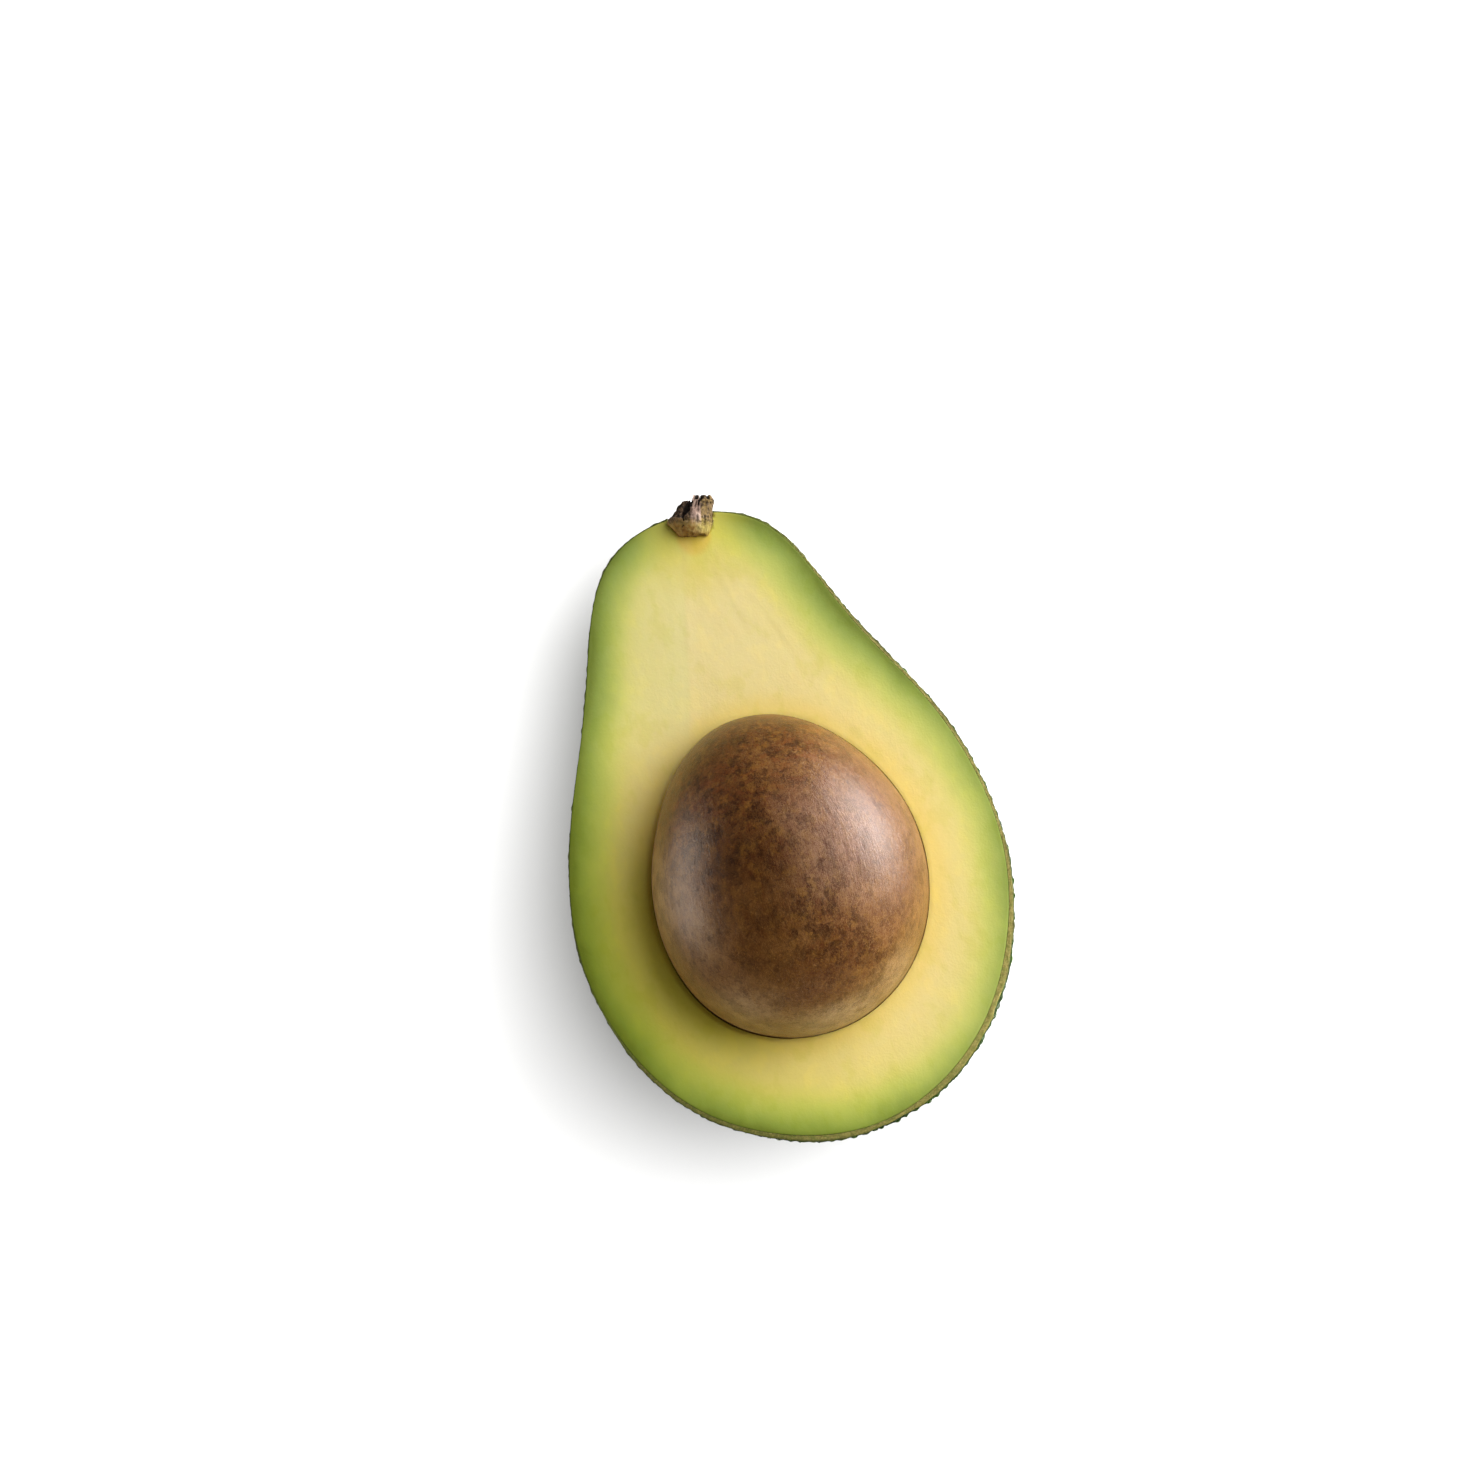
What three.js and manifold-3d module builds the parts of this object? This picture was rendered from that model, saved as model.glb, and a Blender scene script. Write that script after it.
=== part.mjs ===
// Half an avocado, cut lengthwise, with the whole seed left in this half and
// the stub of the stem still in its socket. It lies on its rounded back with
// the cut face up, settled on a small flat spot.
//
// Fruit coordinates (u, v, w), millimetres: the cut face is the plane w = 0,
// v runs along the fruit from the blossom end to the stem end, u runs across
// the cut face, and the flesh lies below it at negative w. The group at the
// end of the file turns and lifts the fruit into its resting place, +Z up.
import * as THREE from 'three';
import Module from 'manifold-3d';
import { mergeVertices } from 'three/addons/utils/BufferGeometryUtils.js';

// ---------------------------------------------------------------- dimensions
const DEG = Math.PI / 180;
const DEPTH_RATIO = 0.97;        // depth of the back over half the local width
const SKIN_MEAN = 1.05;          // peel thickness, mean across the fruit
const SKIN_SWING = 0.30;         // the peel is this much thicker on the right
const GAP = 0.30;                // clearance between pieces that touch
const REST_TILT = 11.5 * DEG;    // the heavy neck end settles this much lower
const FLAT_SPOT_DEPTH = 0.60;    // how far the back is flattened where it rests
const BACK_LEVEL = -33.93;       // lowest point of the round back before that
const CENTRE_X = -0.05;          // middle of the resting outline, across
const CENTRE_Y = 4.39;           // middle of the resting outline, along

const SEED_CENTRE = [0.265, -6.36];   // on the cut face
const SEED_LEAN = 2 * DEG;            // seed axis, clockwise from the v axis
const SEED_DEPTH_RATIO = 0.98;

const STUB_FOOT = [1.75, 51.9];       // middle of the stub's lower end
const STUB_LEAN = 18 * DEG;           // stub axis, clockwise from the v axis
// radius and height along the stub's axis, from its rounded foot to its top
const STUB_PROFILE = [
  [0.00, 0.00], [1.45, 0.12], [2.30, 0.65], [2.95, 1.70], [3.60, 3.00],
  [3.85, 4.00], [3.62, 5.20], [3.25, 6.40], [2.55, 7.15], [0.00, 7.35],
];
const SOCKET_TOP = 12;                // the socket's cutter clears the shoulder

// Mesh divisions: along the fruit, round its back, and round seed and stub.
const FRUIT_ROWS = 34, FRUIT_COLS = 24;
const SEED_ROWS = 20, SEED_COLS = 26;
const STUB_COLS = 16;

// The edge of the cut fruit and of the seed, as closed Fourier curves in mm.
// a = 0 at the stem end and PI at the blossom end; a > 0 is the right side.
const FRUIT_EDGE = {
  cos: [[0.330, 1.187], [0.014, 50.505], [0.357, 1.290], [-0.143, 2.664],
        [0.226, 0.931], [0.144, 0.321], [0.068, -0.015], [0.011, -0.103],
        [-0.023, -0.143]],
  sin: [[36.419, -0.231], [-2.992, -0.537], [1.534, -0.210], [1.054, -0.144],
        [0.796, -0.132], [0.426, -0.009], [0.171, -0.041], [0.109, -0.018]],
};
const SEED_EDGE = {
  cos: [[-0.121, 0.058], [0.050, 26.121], [-0.279, 0.306], [-0.103, 0.568],
        [0.042, 0.200], [0.028, 0.049], [0.013, 0.011]],
  sin: [[22.996, 0.102], [-0.409, -0.008], [0.452, -0.029], [0.146, -0.052],
        [0.065, -0.041], [0.064, 0.009]],
};

// ------------------------------------------------------------------- surfaces
function edgePoint(edge, a) {
  let x = 0, y = 0;
  edge.cos.forEach((c, k) => { x += c[0] * Math.cos(k * a); y += c[1] * Math.cos(k * a); });
  edge.sin.forEach((c, k) => { x += c[0] * Math.sin((k + 1) * a); y += c[1] * Math.sin((k + 1) * a); });
  return [x, y];
}

// A round body on a closed edge: each pair of opposite edge points carries an
// elliptical section. t = 0 on the right edge, PI on the left edge, PI/2 deep.
function bodyPoint(edge, ratio, a, t) {
  const p = edgePoint(edge, a), q = edgePoint(edge, -a);
  const cx = (p[0] + q[0]) / 2, cy = (p[1] + q[1]) / 2;
  const hx = (p[0] - q[0]) / 2, hy = (p[1] - q[1]) / 2;
  return new THREE.Vector3(
    cx + hx * Math.cos(t), cy + hy * Math.cos(t),
    -ratio * Math.hypot(hx, hy) * Math.sin(t));
}

function bodyNormal(edge, ratio, a, t) {
  const e = 1e-3, s = Math.min(Math.max(a, 2e-3), Math.PI - 2e-3);
  const da = bodyPoint(edge, ratio, s + e, t).sub(bodyPoint(edge, ratio, s - e, t));
  const dt = bodyPoint(edge, ratio, s, t + e).sub(bodyPoint(edge, ratio, s, t - e));
  return da.cross(dt).normalize();
}

// The floor, seen from the fruit: points lower than it are pushed up to it.
const UP = new THREE.Vector3(0, -Math.sin(REST_TILT), Math.cos(REST_TILT));
const FLOOR_LEVEL = BACK_LEVEL + FLAT_SPOT_DEPTH;
function settle(p, lift) {
  const h = p.dot(UP) - (FLOOR_LEVEL + lift);
  if (h < 0) p.addScaledVector(UP, -h);
  return p;
}

const skinThickness = (t) => SKIN_MEAN + SKIN_SWING * Math.cos(t);

// A surface point of the fruit, inset along the surface's normal.
function fruitPoint(a, t, inset, lift) {
  let n;
  if (a < 1e-9) n = new THREE.Vector3(0, 1, 0);
  else if (a > Math.PI - 1e-9) n = new THREE.Vector3(0, -1, 0);
  else n = bodyNormal(FRUIT_EDGE, DEPTH_RATIO, a, t);
  const p = bodyPoint(FRUIT_EDGE, DEPTH_RATIO, a, t);
  if (t < 1e-9 || t > Math.PI - 1e-9) { n.z = 0; n.normalize(); p.z = 0; }
  p.addScaledVector(n, -inset);
  return settle(p, lift);
}

// Collects points and faces and hands back one closed BufferGeometry.
class Body {
  constructor() { this.points = []; this.faces = []; }
  point(p) { this.points.push(p.x, p.y, p.z); return this.points.length / 3 - 1; }
  face(a, b, c) { this.faces.push(a, b, c); }
  quad(a, b, c, d) { this.face(a, b, c); this.face(a, c, d); }
  geometry() {
    const g = new THREE.BufferGeometry();
    g.setAttribute('position', new THREE.Float32BufferAttribute(this.points, 3));
    g.setIndex(this.faces);
    return g;
  }
}

// The rounded back as a grid with one shared point at each end of the fruit.
// inset(t) is how far it lies inside the fruit's outside.
function backGrid(body, inset, lift) {
  const first = body.point(fruitPoint(0, Math.PI / 2, inset(Math.PI / 2), lift));
  const rows = [];
  for (let i = 1; i < FRUIT_ROWS; i++) {
    const row = [];
    for (let j = 0; j <= FRUIT_COLS; j++) {
      const t = Math.PI * j / FRUIT_COLS;
      row.push(body.point(fruitPoint(Math.PI * i / FRUIT_ROWS, t, inset(t), lift)));
    }
    rows.push(row);
  }
  const last = body.point(fruitPoint(Math.PI, Math.PI / 2, inset(Math.PI / 2), lift));
  return { first, rows, last };
}

function backFaces(body, grid, outward) {
  const { first, rows, last } = grid;
  const tri = outward ? (a, b, c) => body.face(a, b, c) : (a, b, c) => body.face(a, c, b);
  for (let j = 0; j < FRUIT_COLS; j++) {
    tri(first, rows[0][j], rows[0][j + 1]);
    for (let i = 0; i < rows.length - 1; i++) {
      tri(rows[i][j], rows[i + 1][j], rows[i + 1][j + 1]);
      tri(rows[i][j], rows[i + 1][j + 1], rows[i][j + 1]);
    }
    tri(rows[rows.length - 1][j], last, rows[rows.length - 1][j + 1]);
  }
}

// The peel: outside, inside, and the flat cut rim between them.
function skinGeometry() {
  const body = new Body();
  const out = backGrid(body, () => 0, 0);
  const inn = backGrid(body, skinThickness, SKIN_MEAN);
  backFaces(body, out, true);
  backFaces(body, inn, false);
  for (const [j, flip] of [[0, false], [FRUIT_COLS, true]]) {
    const o = [out.first, ...out.rows.map((r) => r[j]), out.last];
    const n = [inn.first, ...inn.rows.map((r) => r[j]), inn.last];
    for (let i = 0; i < o.length - 1; i++) {
      if (flip) body.quad(o[i], o[i + 1], n[i + 1], n[i]);
      else body.quad(o[i], n[i], n[i + 1], o[i + 1]);
    }
  }
  return body.geometry();
}

// The flesh before the seed and the stem are set into it.
function fleshGeometry() {
  const body = new Body();
  const grid = backGrid(body, (t) => skinThickness(t) + GAP, SKIN_MEAN + GAP);
  backFaces(body, grid, true);
  const right = grid.rows.map((r) => r[0]), left = grid.rows.map((r) => r[FRUIT_COLS]);
  body.face(grid.first, left[0], right[0]);
  for (let i = 0; i < right.length - 1; i++) body.quad(right[i], left[i], left[i + 1], right[i + 1]);
  body.face(right[right.length - 1], left[left.length - 1], grid.last);
  return body.geometry();
}

// The egg of the seed, grown by `grow` on all sides.
function seedGeometry(grow) {
  const body = new Body();
  const at = (a, t) => {
    let n;
    if (a < 1e-9) n = new THREE.Vector3(0, 1, 0);
    else if (a > Math.PI - 1e-9) n = new THREE.Vector3(0, -1, 0);
    else n = bodyNormal(SEED_EDGE, SEED_DEPTH_RATIO, a, t);
    return bodyPoint(SEED_EDGE, SEED_DEPTH_RATIO, a, t).addScaledVector(n, grow);
  };
  const first = body.point(at(0, 0));
  const rows = [];
  for (let i = 1; i < SEED_ROWS; i++) {
    const row = [];
    for (let j = 0; j < SEED_COLS; j++) {
      row.push(body.point(at(Math.PI * i / SEED_ROWS, 2 * Math.PI * (j + 0.5) / SEED_COLS)));
    }
    rows.push(row);
  }
  const last = body.point(at(Math.PI, 0));
  for (let j = 0; j < SEED_COLS; j++) {
    const k = (j + 1) % SEED_COLS;
    body.face(first, rows[0][j], rows[0][k]);
    for (let i = 0; i < rows.length - 1; i++) {
      body.quad(rows[i][j], rows[i + 1][j], rows[i + 1][k], rows[i][k]);
    }
    body.face(rows[rows.length - 1][j], last, rows[rows.length - 1][k]);
  }
  const g = body.geometry();
  g.rotateZ(-SEED_LEAN);
  g.translate(SEED_CENTRE[0], SEED_CENTRE[1], 0);
  return g;
}

// A turned body on the stub's axis, from a profile of [radius, height].
function turnedOnStubAxis(profile) {
  const g = new THREE.LatheGeometry(profile.map((p) => new THREE.Vector2(p[0], p[1])), STUB_COLS);
  g.rotateZ(-STUB_LEAN);
  g.translate(STUB_FOOT[0], STUB_FOOT[1], 0);
  return g;
}
const stubGeometry = () => turnedOnStubAxis(STUB_PROFILE);
function socketGeometry() {
  const wall = STUB_PROFILE.filter((p) => p[0] > 0 && p[1] <= 4.0)
    .map(([r, h]) => [r + GAP, Math.max(h - GAP * 0.7, -GAP * 0.6)]);
  const rim = wall[wall.length - 1][0];
  return turnedOnStubAxis([[0, -GAP], ...wall, [rim, SOCKET_TOP], [0, SOCKET_TOP]]);
}

// ------------------------------------------------------------------- booleans
const wasm = await Module();
wasm.setup();

function toSolid(geometry) {
  const g = geometry.clone();
  g.deleteAttribute('normal');
  g.deleteAttribute('uv');
  const merged = mergeVertices(g, 1e-4);
  const solid = new wasm.Manifold(new wasm.Mesh({
    numProp: 3,
    vertProperties: new Float32Array(merged.attributes.position.array),
    triVerts: new Uint32Array(merged.index.array),
  }));
  return solid;
}

function toGeometry(solid) {
  const mesh = solid.getMesh();
  const pos = new Float32Array(mesh.numVert * 3);
  for (let i = 0; i < mesh.numVert; i++) {
    for (let k = 0; k < 3; k++) pos[3 * i + k] = mesh.vertProperties[mesh.numProp * i + k];
  }
  const g = new THREE.BufferGeometry();
  g.setAttribute('position', new THREE.BufferAttribute(pos, 3));
  g.setIndex(Array.from(mesh.triVerts));
  g.computeVertexNormals();
  return g;
}

const socket = toSolid(socketGeometry());
const cavity = toSolid(seedGeometry(GAP));
const skinSolid = toSolid(skinGeometry()).subtract(socket);
const fleshSolid = toSolid(fleshGeometry()).subtract(cavity).subtract(socket);

// ---------------------------------------------------------------------- scene
function piece(name, geometry, color, roughness) {
  const material = new THREE.MeshStandardMaterial({ color, roughness, metalness: 0 });
  const mesh = new THREE.Mesh(geometry, material);
  mesh.name = name;
  return mesh;
}

const group = new THREE.Group();
const fruit = new THREE.Group();
fruit.rotation.x = -REST_TILT;
fruit.position.set(-CENTRE_X, -CENTRE_Y, -FLOOR_LEVEL);
fruit.add(
  piece('skin', toGeometry(skinSolid), 0x34521a, 0.42),
  piece('flesh', toGeometry(fleshSolid), 0xe6da90, 0.5),
  piece('seed', toGeometry(toSolid(seedGeometry(0))), 0x6b4a2e, 0.55),
  piece('stem_stub', toGeometry(toSolid(stubGeometry())), 0x8a6a4a, 0.85),
);
group.add(fruit);

export default group;
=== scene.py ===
import math
import bpy
import numpy as np
from mathutils import Matrix, Vector
from mathutils.kdtree import KDTree


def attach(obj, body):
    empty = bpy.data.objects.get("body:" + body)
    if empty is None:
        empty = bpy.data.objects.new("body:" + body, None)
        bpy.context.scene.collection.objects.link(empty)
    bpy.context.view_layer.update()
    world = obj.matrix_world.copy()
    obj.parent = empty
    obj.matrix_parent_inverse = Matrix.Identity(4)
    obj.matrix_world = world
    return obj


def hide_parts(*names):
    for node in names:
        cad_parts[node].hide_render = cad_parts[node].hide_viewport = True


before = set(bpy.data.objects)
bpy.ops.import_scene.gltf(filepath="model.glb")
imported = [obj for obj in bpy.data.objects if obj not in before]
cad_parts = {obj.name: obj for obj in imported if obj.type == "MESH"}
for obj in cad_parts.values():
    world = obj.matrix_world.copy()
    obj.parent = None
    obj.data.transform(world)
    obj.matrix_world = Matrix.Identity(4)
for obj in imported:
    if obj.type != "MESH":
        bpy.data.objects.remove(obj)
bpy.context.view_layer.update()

PI = math.pi

# --------------------------------------------------------------------------
# The fruit's own frame, in millimetres: u across the cut face, v from the
# blossom end to the stem end, w out of the cut face. Same numbers as the CAD.
# --------------------------------------------------------------------------
REST_TILT = math.radians(11.5)
CENTRE_X, CENTRE_Y = -0.05, 4.39
FLOOR_LEVEL = -33.93 + 0.60
DEPTH_RATIO, SEED_DEPTH_RATIO = 0.97, 0.98
SEED_CENTRE, SEED_LEAN = (0.265, -6.36), math.radians(2)
STUB_FOOT, STUB_LEAN = (1.75, 51.9), math.radians(18)
FRUIT_COS = np.array([[0.330, 1.187], [0.014, 50.505], [0.357, 1.290], [-0.143, 2.664], [0.226, 0.931],
                      [0.144, 0.321], [0.068, -0.015], [0.011, -0.103], [-0.023, -0.143]])
FRUIT_SIN = np.array([[36.419, -0.231], [-2.992, -0.537], [1.534, -0.210], [1.054, -0.144], [0.796, -0.132],
                      [0.426, -0.009], [0.171, -0.041], [0.109, -0.018]])
SEED_COS = np.array([[-0.121, 0.058], [0.050, 26.121], [-0.279, 0.306], [-0.103, 0.568], [0.042, 0.200],
                     [0.028, 0.049], [0.013, 0.011]])
SEED_SIN = np.array([[22.996, 0.102], [-0.409, -0.008], [0.452, -0.029], [0.146, -0.052], [0.065, -0.041],
                     [0.064, 0.009]])
FRUIT, SEED = (FRUIT_COS, FRUIT_SIN), (SEED_COS, SEED_SIN)
UP = np.array([0.0, -math.sin(REST_TILT), math.cos(REST_TILT)])
CB, SB = math.cos(REST_TILT), math.sin(REST_TILT)


def to_world(p):
    """Fruit frame in mm to the row frame in metres."""
    p = np.asarray(p, float)
    u, v, w = p[..., 0], p[..., 1], p[..., 2]
    return np.stack([u - CENTRE_X, v * CB + w * SB - CENTRE_Y, -v * SB + w * CB - FLOOR_LEVEL], -1) / 1000


def to_fruit(q):
    q = np.asarray(q, float) * 1000
    x, y, z = q[..., 0] + CENTRE_X, q[..., 1] + CENTRE_Y, q[..., 2] + FLOOR_LEVEL
    return np.stack([x, y * CB - z * SB, y * SB + z * CB], -1)


def edge(curve, a):
    a = np.asarray(a, float)
    c, s = curve
    return (np.stack([np.cos(k * a) for k in range(len(c))], -1) @ c
            + np.stack([np.sin((k + 1) * a) for k in range(len(s))], -1) @ s)


def body(curve, ratio, a, t):
    """Points of the round body at every row a and column t: (rows, columns, 3)."""
    p, q = edge(curve, a), edge(curve, -np.asarray(a))
    c, h = (p + q) / 2, (p - q) / 2
    d = ratio * np.linalg.norm(h, axis=-1)
    xy = c[:, None] + h[:, None] * np.cos(t)[None, :, None]
    return np.concatenate([xy, (-d[:, None] * np.sin(t)[None])[..., None]], -1)


def body_normal(curve, ratio, a, t):
    e = 1e-3
    a = np.clip(a, 2e-3, PI - 2e-3)
    da = body(curve, ratio, a + e, t) - body(curve, ratio, a - e, t)
    dt = body(curve, ratio, a, t + e) - body(curve, ratio, a, t - e)
    n = np.cross(da, dt)
    return n / np.linalg.norm(n, axis=-1, keepdims=True)


def settle(p, lift=0.0):
    """Pushes points that are under the floor, or nearer than lift to it, up to it."""
    h = p @ UP - (FLOOR_LEVEL + lift)
    return p - np.minimum(h, 0)[..., None] * UP


# --------------------------------------------------------------------------
# Noise in numpy, the same on every run
# --------------------------------------------------------------------------
def _hash(ix, iy, iz, seed):
    with np.errstate(over="ignore"):
        h = (ix.astype(np.int64) * 374761393 + iy.astype(np.int64) * 668265263
             + iz.astype(np.int64) * 2147483629 + seed * 974634777).astype(np.uint64) & np.uint64(0xFFFFFFFF)
        h = h.astype(np.uint32)
        h ^= h >> np.uint32(13)
        h = (h * np.uint32(1274126177))
        h ^= h >> np.uint32(16)
        h = (h * np.uint32(2246822519))
        h ^= h >> np.uint32(13)
    return h.astype(np.float64) / 4294967295.0


def noise(p, seed=0):
    """Smooth value noise from -1 to 1 at points (..., 3), one cell per unit."""
    p = np.asarray(p, float)
    i = np.floor(p)
    f = p - i
    i = i.astype(np.int64)
    f = f * f * f * (f * (f * 6 - 15) + 10)
    out = 0
    for dx in (0, 1):
        for dy in (0, 1):
            for dz in (0, 1):
                wgt = ((f[..., 0] if dx else 1 - f[..., 0]) * (f[..., 1] if dy else 1 - f[..., 1])
                       * (f[..., 2] if dz else 1 - f[..., 2]))
                out = out + wgt * _hash(i[..., 0] + dx, i[..., 1] + dy, i[..., 2] + dz, seed)
    return out * 2 - 1


def fbm(p, scale, octaves=3, seed=0, gain=0.5):
    """Layered noise; scale is the size of its largest lumps in mm."""
    p = np.asarray(p, float) / scale
    out, amp, total = 0, 1.0, 0
    for k in range(octaves):
        out = out + amp * noise(p * 2 ** k + 17.3 * k, seed + 31 * k)
        total += amp
        amp *= gain
    return out / total


def smooth(lo, hi, x):
    t = np.clip((np.asarray(x, float) - lo) / (hi - lo), 0, 1)
    return t * t * (3 - 2 * t)


# --------------------------------------------------------------------------
# Mesh helpers
# --------------------------------------------------------------------------
class Patchwork:
    """Builds one closed mesh from patches. Each patch has a map of its own; real[] says which
    corners of different patches are one point of the mesh."""

    def __init__(self):
        self.points, self.uvs, self.real, self.faces, self.count = [], [], [], [], 0
        self.marks = []

    def add(self, points, uv, real=None, mark=0.0):
        """Adds (..., 3) points with their (..., 2) map. real holds the number of the point that
        each one is, or -1 where it is new. Returns the numbers, and the mesh points they stand for."""
        shape = points.shape[:-1]
        n = int(np.prod(shape))
        real = np.full(n, -1) if real is None else np.asarray(real).reshape(-1).copy()
        fresh = np.flatnonzero(real < 0)
        real[fresh] = self.count + np.arange(len(fresh))
        self.count += len(fresh)
        start = sum(len(r) for r in self.real)
        self.points.append(points.reshape(-1, 3)[fresh])
        self.uvs.append(np.broadcast_to(uv, shape + (2,)).reshape(-1, 2))
        self.marks.append(np.broadcast_to(mark, shape).reshape(-1)[fresh])
        self.real.append(real)
        return start + np.arange(n).reshape(shape), real.reshape(shape)

    def quads(self, index, flip=False):
        q = np.stack([index[:-1, :-1], index[1:, :-1], index[1:, 1:], index[:-1, 1:]], -1).reshape(-1, 4)
        self.faces.append(q[:, ::-1] if flip else q)

    def build(self, name):
        points, uvs, real = np.vstack(self.points), np.vstack(self.uvs), np.concatenate(self.real)
        faces, corners = [], []
        for f in np.vstack(self.faces).tolist():
            r = [int(real[k]) for k in f]
            keep = [k for k in range(4) if r[k] != r[k - 1]]
            if len(keep) < 3 or len({r[k] for k in keep}) < len(keep):
                continue
            faces.append([r[k] for k in keep])
            corners.extend(f[k] for k in keep)
        ob = new_object(name, points, faces, uvs[np.array(corners)])
        set_attr(ob, "mark", np.concatenate(self.marks))
        return ob


def new_object(name, points, faces, uv=None):
    """A mesh object in the row frame from fruit-frame points and faces of 3 or 4 corners."""
    mesh = bpy.data.meshes.new(name)
    mesh.from_pydata(to_world(points).tolist(), [], faces)
    if uv is not None:
        layer = mesh.uv_layers.new(name="OFBake")
        layer.uv.foreach_set("vector", np.asarray(uv, np.float32).ravel())
    ob = bpy.data.objects.new(name, mesh)
    bpy.context.scene.collection.objects.link(ob)
    mesh.polygons.foreach_set("use_smooth", np.ones(len(mesh.polygons), bool))
    mesh.update()
    return ob


def points_of(ob):
    co = np.empty(len(ob.data.vertices) * 3, np.float32)
    ob.data.vertices.foreach_get("co", co)
    return to_fruit(co.reshape(-1, 3).astype(float))


def set_attr(ob, name, values):
    values = np.asarray(values, np.float32)
    kind = "FLOAT" if values.ndim == 1 else "FLOAT_VECTOR"
    att = ob.data.attributes.get(name) or ob.data.attributes.new(name, kind, "POINT")
    att.data.foreach_set("value" if kind == "FLOAT" else "vector", values.ravel())


def get_attr(ob, name):
    out = np.empty(len(ob.data.vertices), np.float32)
    ob.data.attributes[name].data.foreach_get("value", out)
    return out.astype(float)


def cut(ob, tool):
    """Takes tool out of ob, with ob's map kept on the faces that stay."""
    m = ob.modifiers.new("cut", "BOOLEAN")
    m.operation, m.object = "DIFFERENCE", tool
    try:
        m.solver = "MANIFOLD"
    except TypeError:
        m.solver = "EXACT"
    dg = bpy.context.evaluated_depsgraph_get()
    mesh = bpy.data.meshes.new_from_object(ob.evaluated_get(dg), preserve_all_data_layers=True, depsgraph=dg)
    ob.modifiers.clear()
    old, ob.data = ob.data, mesh
    bpy.data.meshes.remove(old)
    mesh.name = ob.name
    mesh.polygons.foreach_set("use_smooth", np.ones(len(mesh.polygons), bool))


def untangled(f, step):
    """Fills grid points that touch others only across a diagonal, where a surface would pinch."""
    f = f.copy()
    for _ in range(12):
        fill = np.zeros(f.shape, bool)
        s = f < 0
        for k in range(3):
            o1, o2 = [x for x in range(3) if x != k]
            sl = lambda d1, d2: tuple(slice(d, f.shape[x] - 1 + d) if x in (o1, o2) else slice(None)
                                      for x, d in ((0, {o1: d1, o2: d2}.get(0, 0)), (1, {o1: d1, o2: d2}.get(1, 0)),
                                                   (2, {o1: d1, o2: d2}.get(2, 0))))
            a, b, c, d = s[sl(0, 0)], s[sl(1, 0)], s[sl(0, 1)], s[sl(1, 1)]
            fill[sl(1, 0)] |= a & d & ~b & ~c
            fill[sl(0, 0)] |= b & c & ~a & ~d
        c = lambda i, j, k: s[i:f.shape[0] - 1 + i, j:f.shape[1] - 1 + j, k:f.shape[2] - 1 + k]
        count = sum(c(i, j, k).astype(int) for i in (0, 1) for j in (0, 1) for k in (0, 1))
        for i, j, k in ((0, 0, 0), (1, 0, 0), (0, 1, 0), (0, 0, 1)):
            pair = c(i, j, k) & c(1 - i, 1 - j, 1 - k) & (count == 2)
            hole = ~c(i, j, k) & ~c(1 - i, 1 - j, 1 - k) & (count == 6)
            for mask, (x, y, z) in ((pair, (i, j, 1 - k)), (pair, (i, 1 - j, 1 - k)), (hole, (i, j, k))):
                fill[x:f.shape[0] - 1 + x, y:f.shape[1] - 1 + y, z:f.shape[2] - 1 + z] |= mask
        fill &= ~s
        if not fill.any():
            break
        f[fill] = -0.02 * step
    return f


def surface_net(field, low, high, step):
    """Points and quads of the surface field(p) = 0, by one point in each grid cell that it crosses."""
    n = np.ceil((np.array(high) - low) / step).astype(int) + 1
    axes = [low[k] + step * np.arange(n[k]) for k in range(3)]
    p = np.stack(np.meshgrid(*axes, indexing="ij"), -1)
    f = untangled(field(p), step)
    inside = f < 0
    cells = np.zeros(n - 1)
    total = np.zeros(tuple(n - 1) + (3,))
    hits = np.zeros(tuple(n - 1))
    corner = [(i, j, k) for i in (0, 1) for j in (0, 1) for k in (0, 1)]
    view = lambda g, c: g[c[0]:n[0] - 1 + c[0], c[1]:n[1] - 1 + c[1], c[2]:n[2] - 1 + c[2]]
    for c in corner:
        for k in range(3):
            if c[k] == 0:
                d = list(c)
                d[k] = 1
                fa, fb = view(f, c), view(f, d)
                cross = (fa < 0) != (fb < 0)
                t = np.where(cross, fa / np.where(cross, fa - fb, 1), 0)
                at = np.array(c, float)
                hits += cross
                total += cross[..., None] * at
                total[..., k] += t * cross
    live = hits > 0
    number = np.full(live.shape, -1)
    number[live] = np.arange(live.sum())
    where = np.argwhere(live)
    pts = np.array(low) + step * (where + total[live] / hits[live][:, None])
    faces = []
    for k in range(3):
        sl_a, sl_b = [slice(None)] * 3, [slice(None)] * 3
        sl_a[k], sl_b[k] = slice(0, -1), slice(1, None)
        ia, ib = inside[tuple(sl_a)], inside[tuple(sl_b)]
        for flip, mask in ((False, ia & ~ib), (True, ~ia & ib)):
            e = np.argwhere(mask)
            o1, o2 = [x for x in range(3) if x != k]
            e = e[(e[:, o1] > 0) & (e[:, o2] > 0) & (e[:, o1] < n[o1] - 1) & (e[:, o2] < n[o2] - 1)]
            q = []
            for d1, d2 in ((1, 1), (0, 1), (0, 0), (1, 0)):
                g = e.copy()
                g[:, o1] -= d1
                g[:, o2] -= d2
                q.append(number[g[:, 0], g[:, 1], g[:, 2]])
            q = np.stack(q, 1)
            if k == 1:
                q = q[:, ::-1]
            faces.append(q[:, ::-1] if flip else q)
    return pts, np.vstack(faces)


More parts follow.
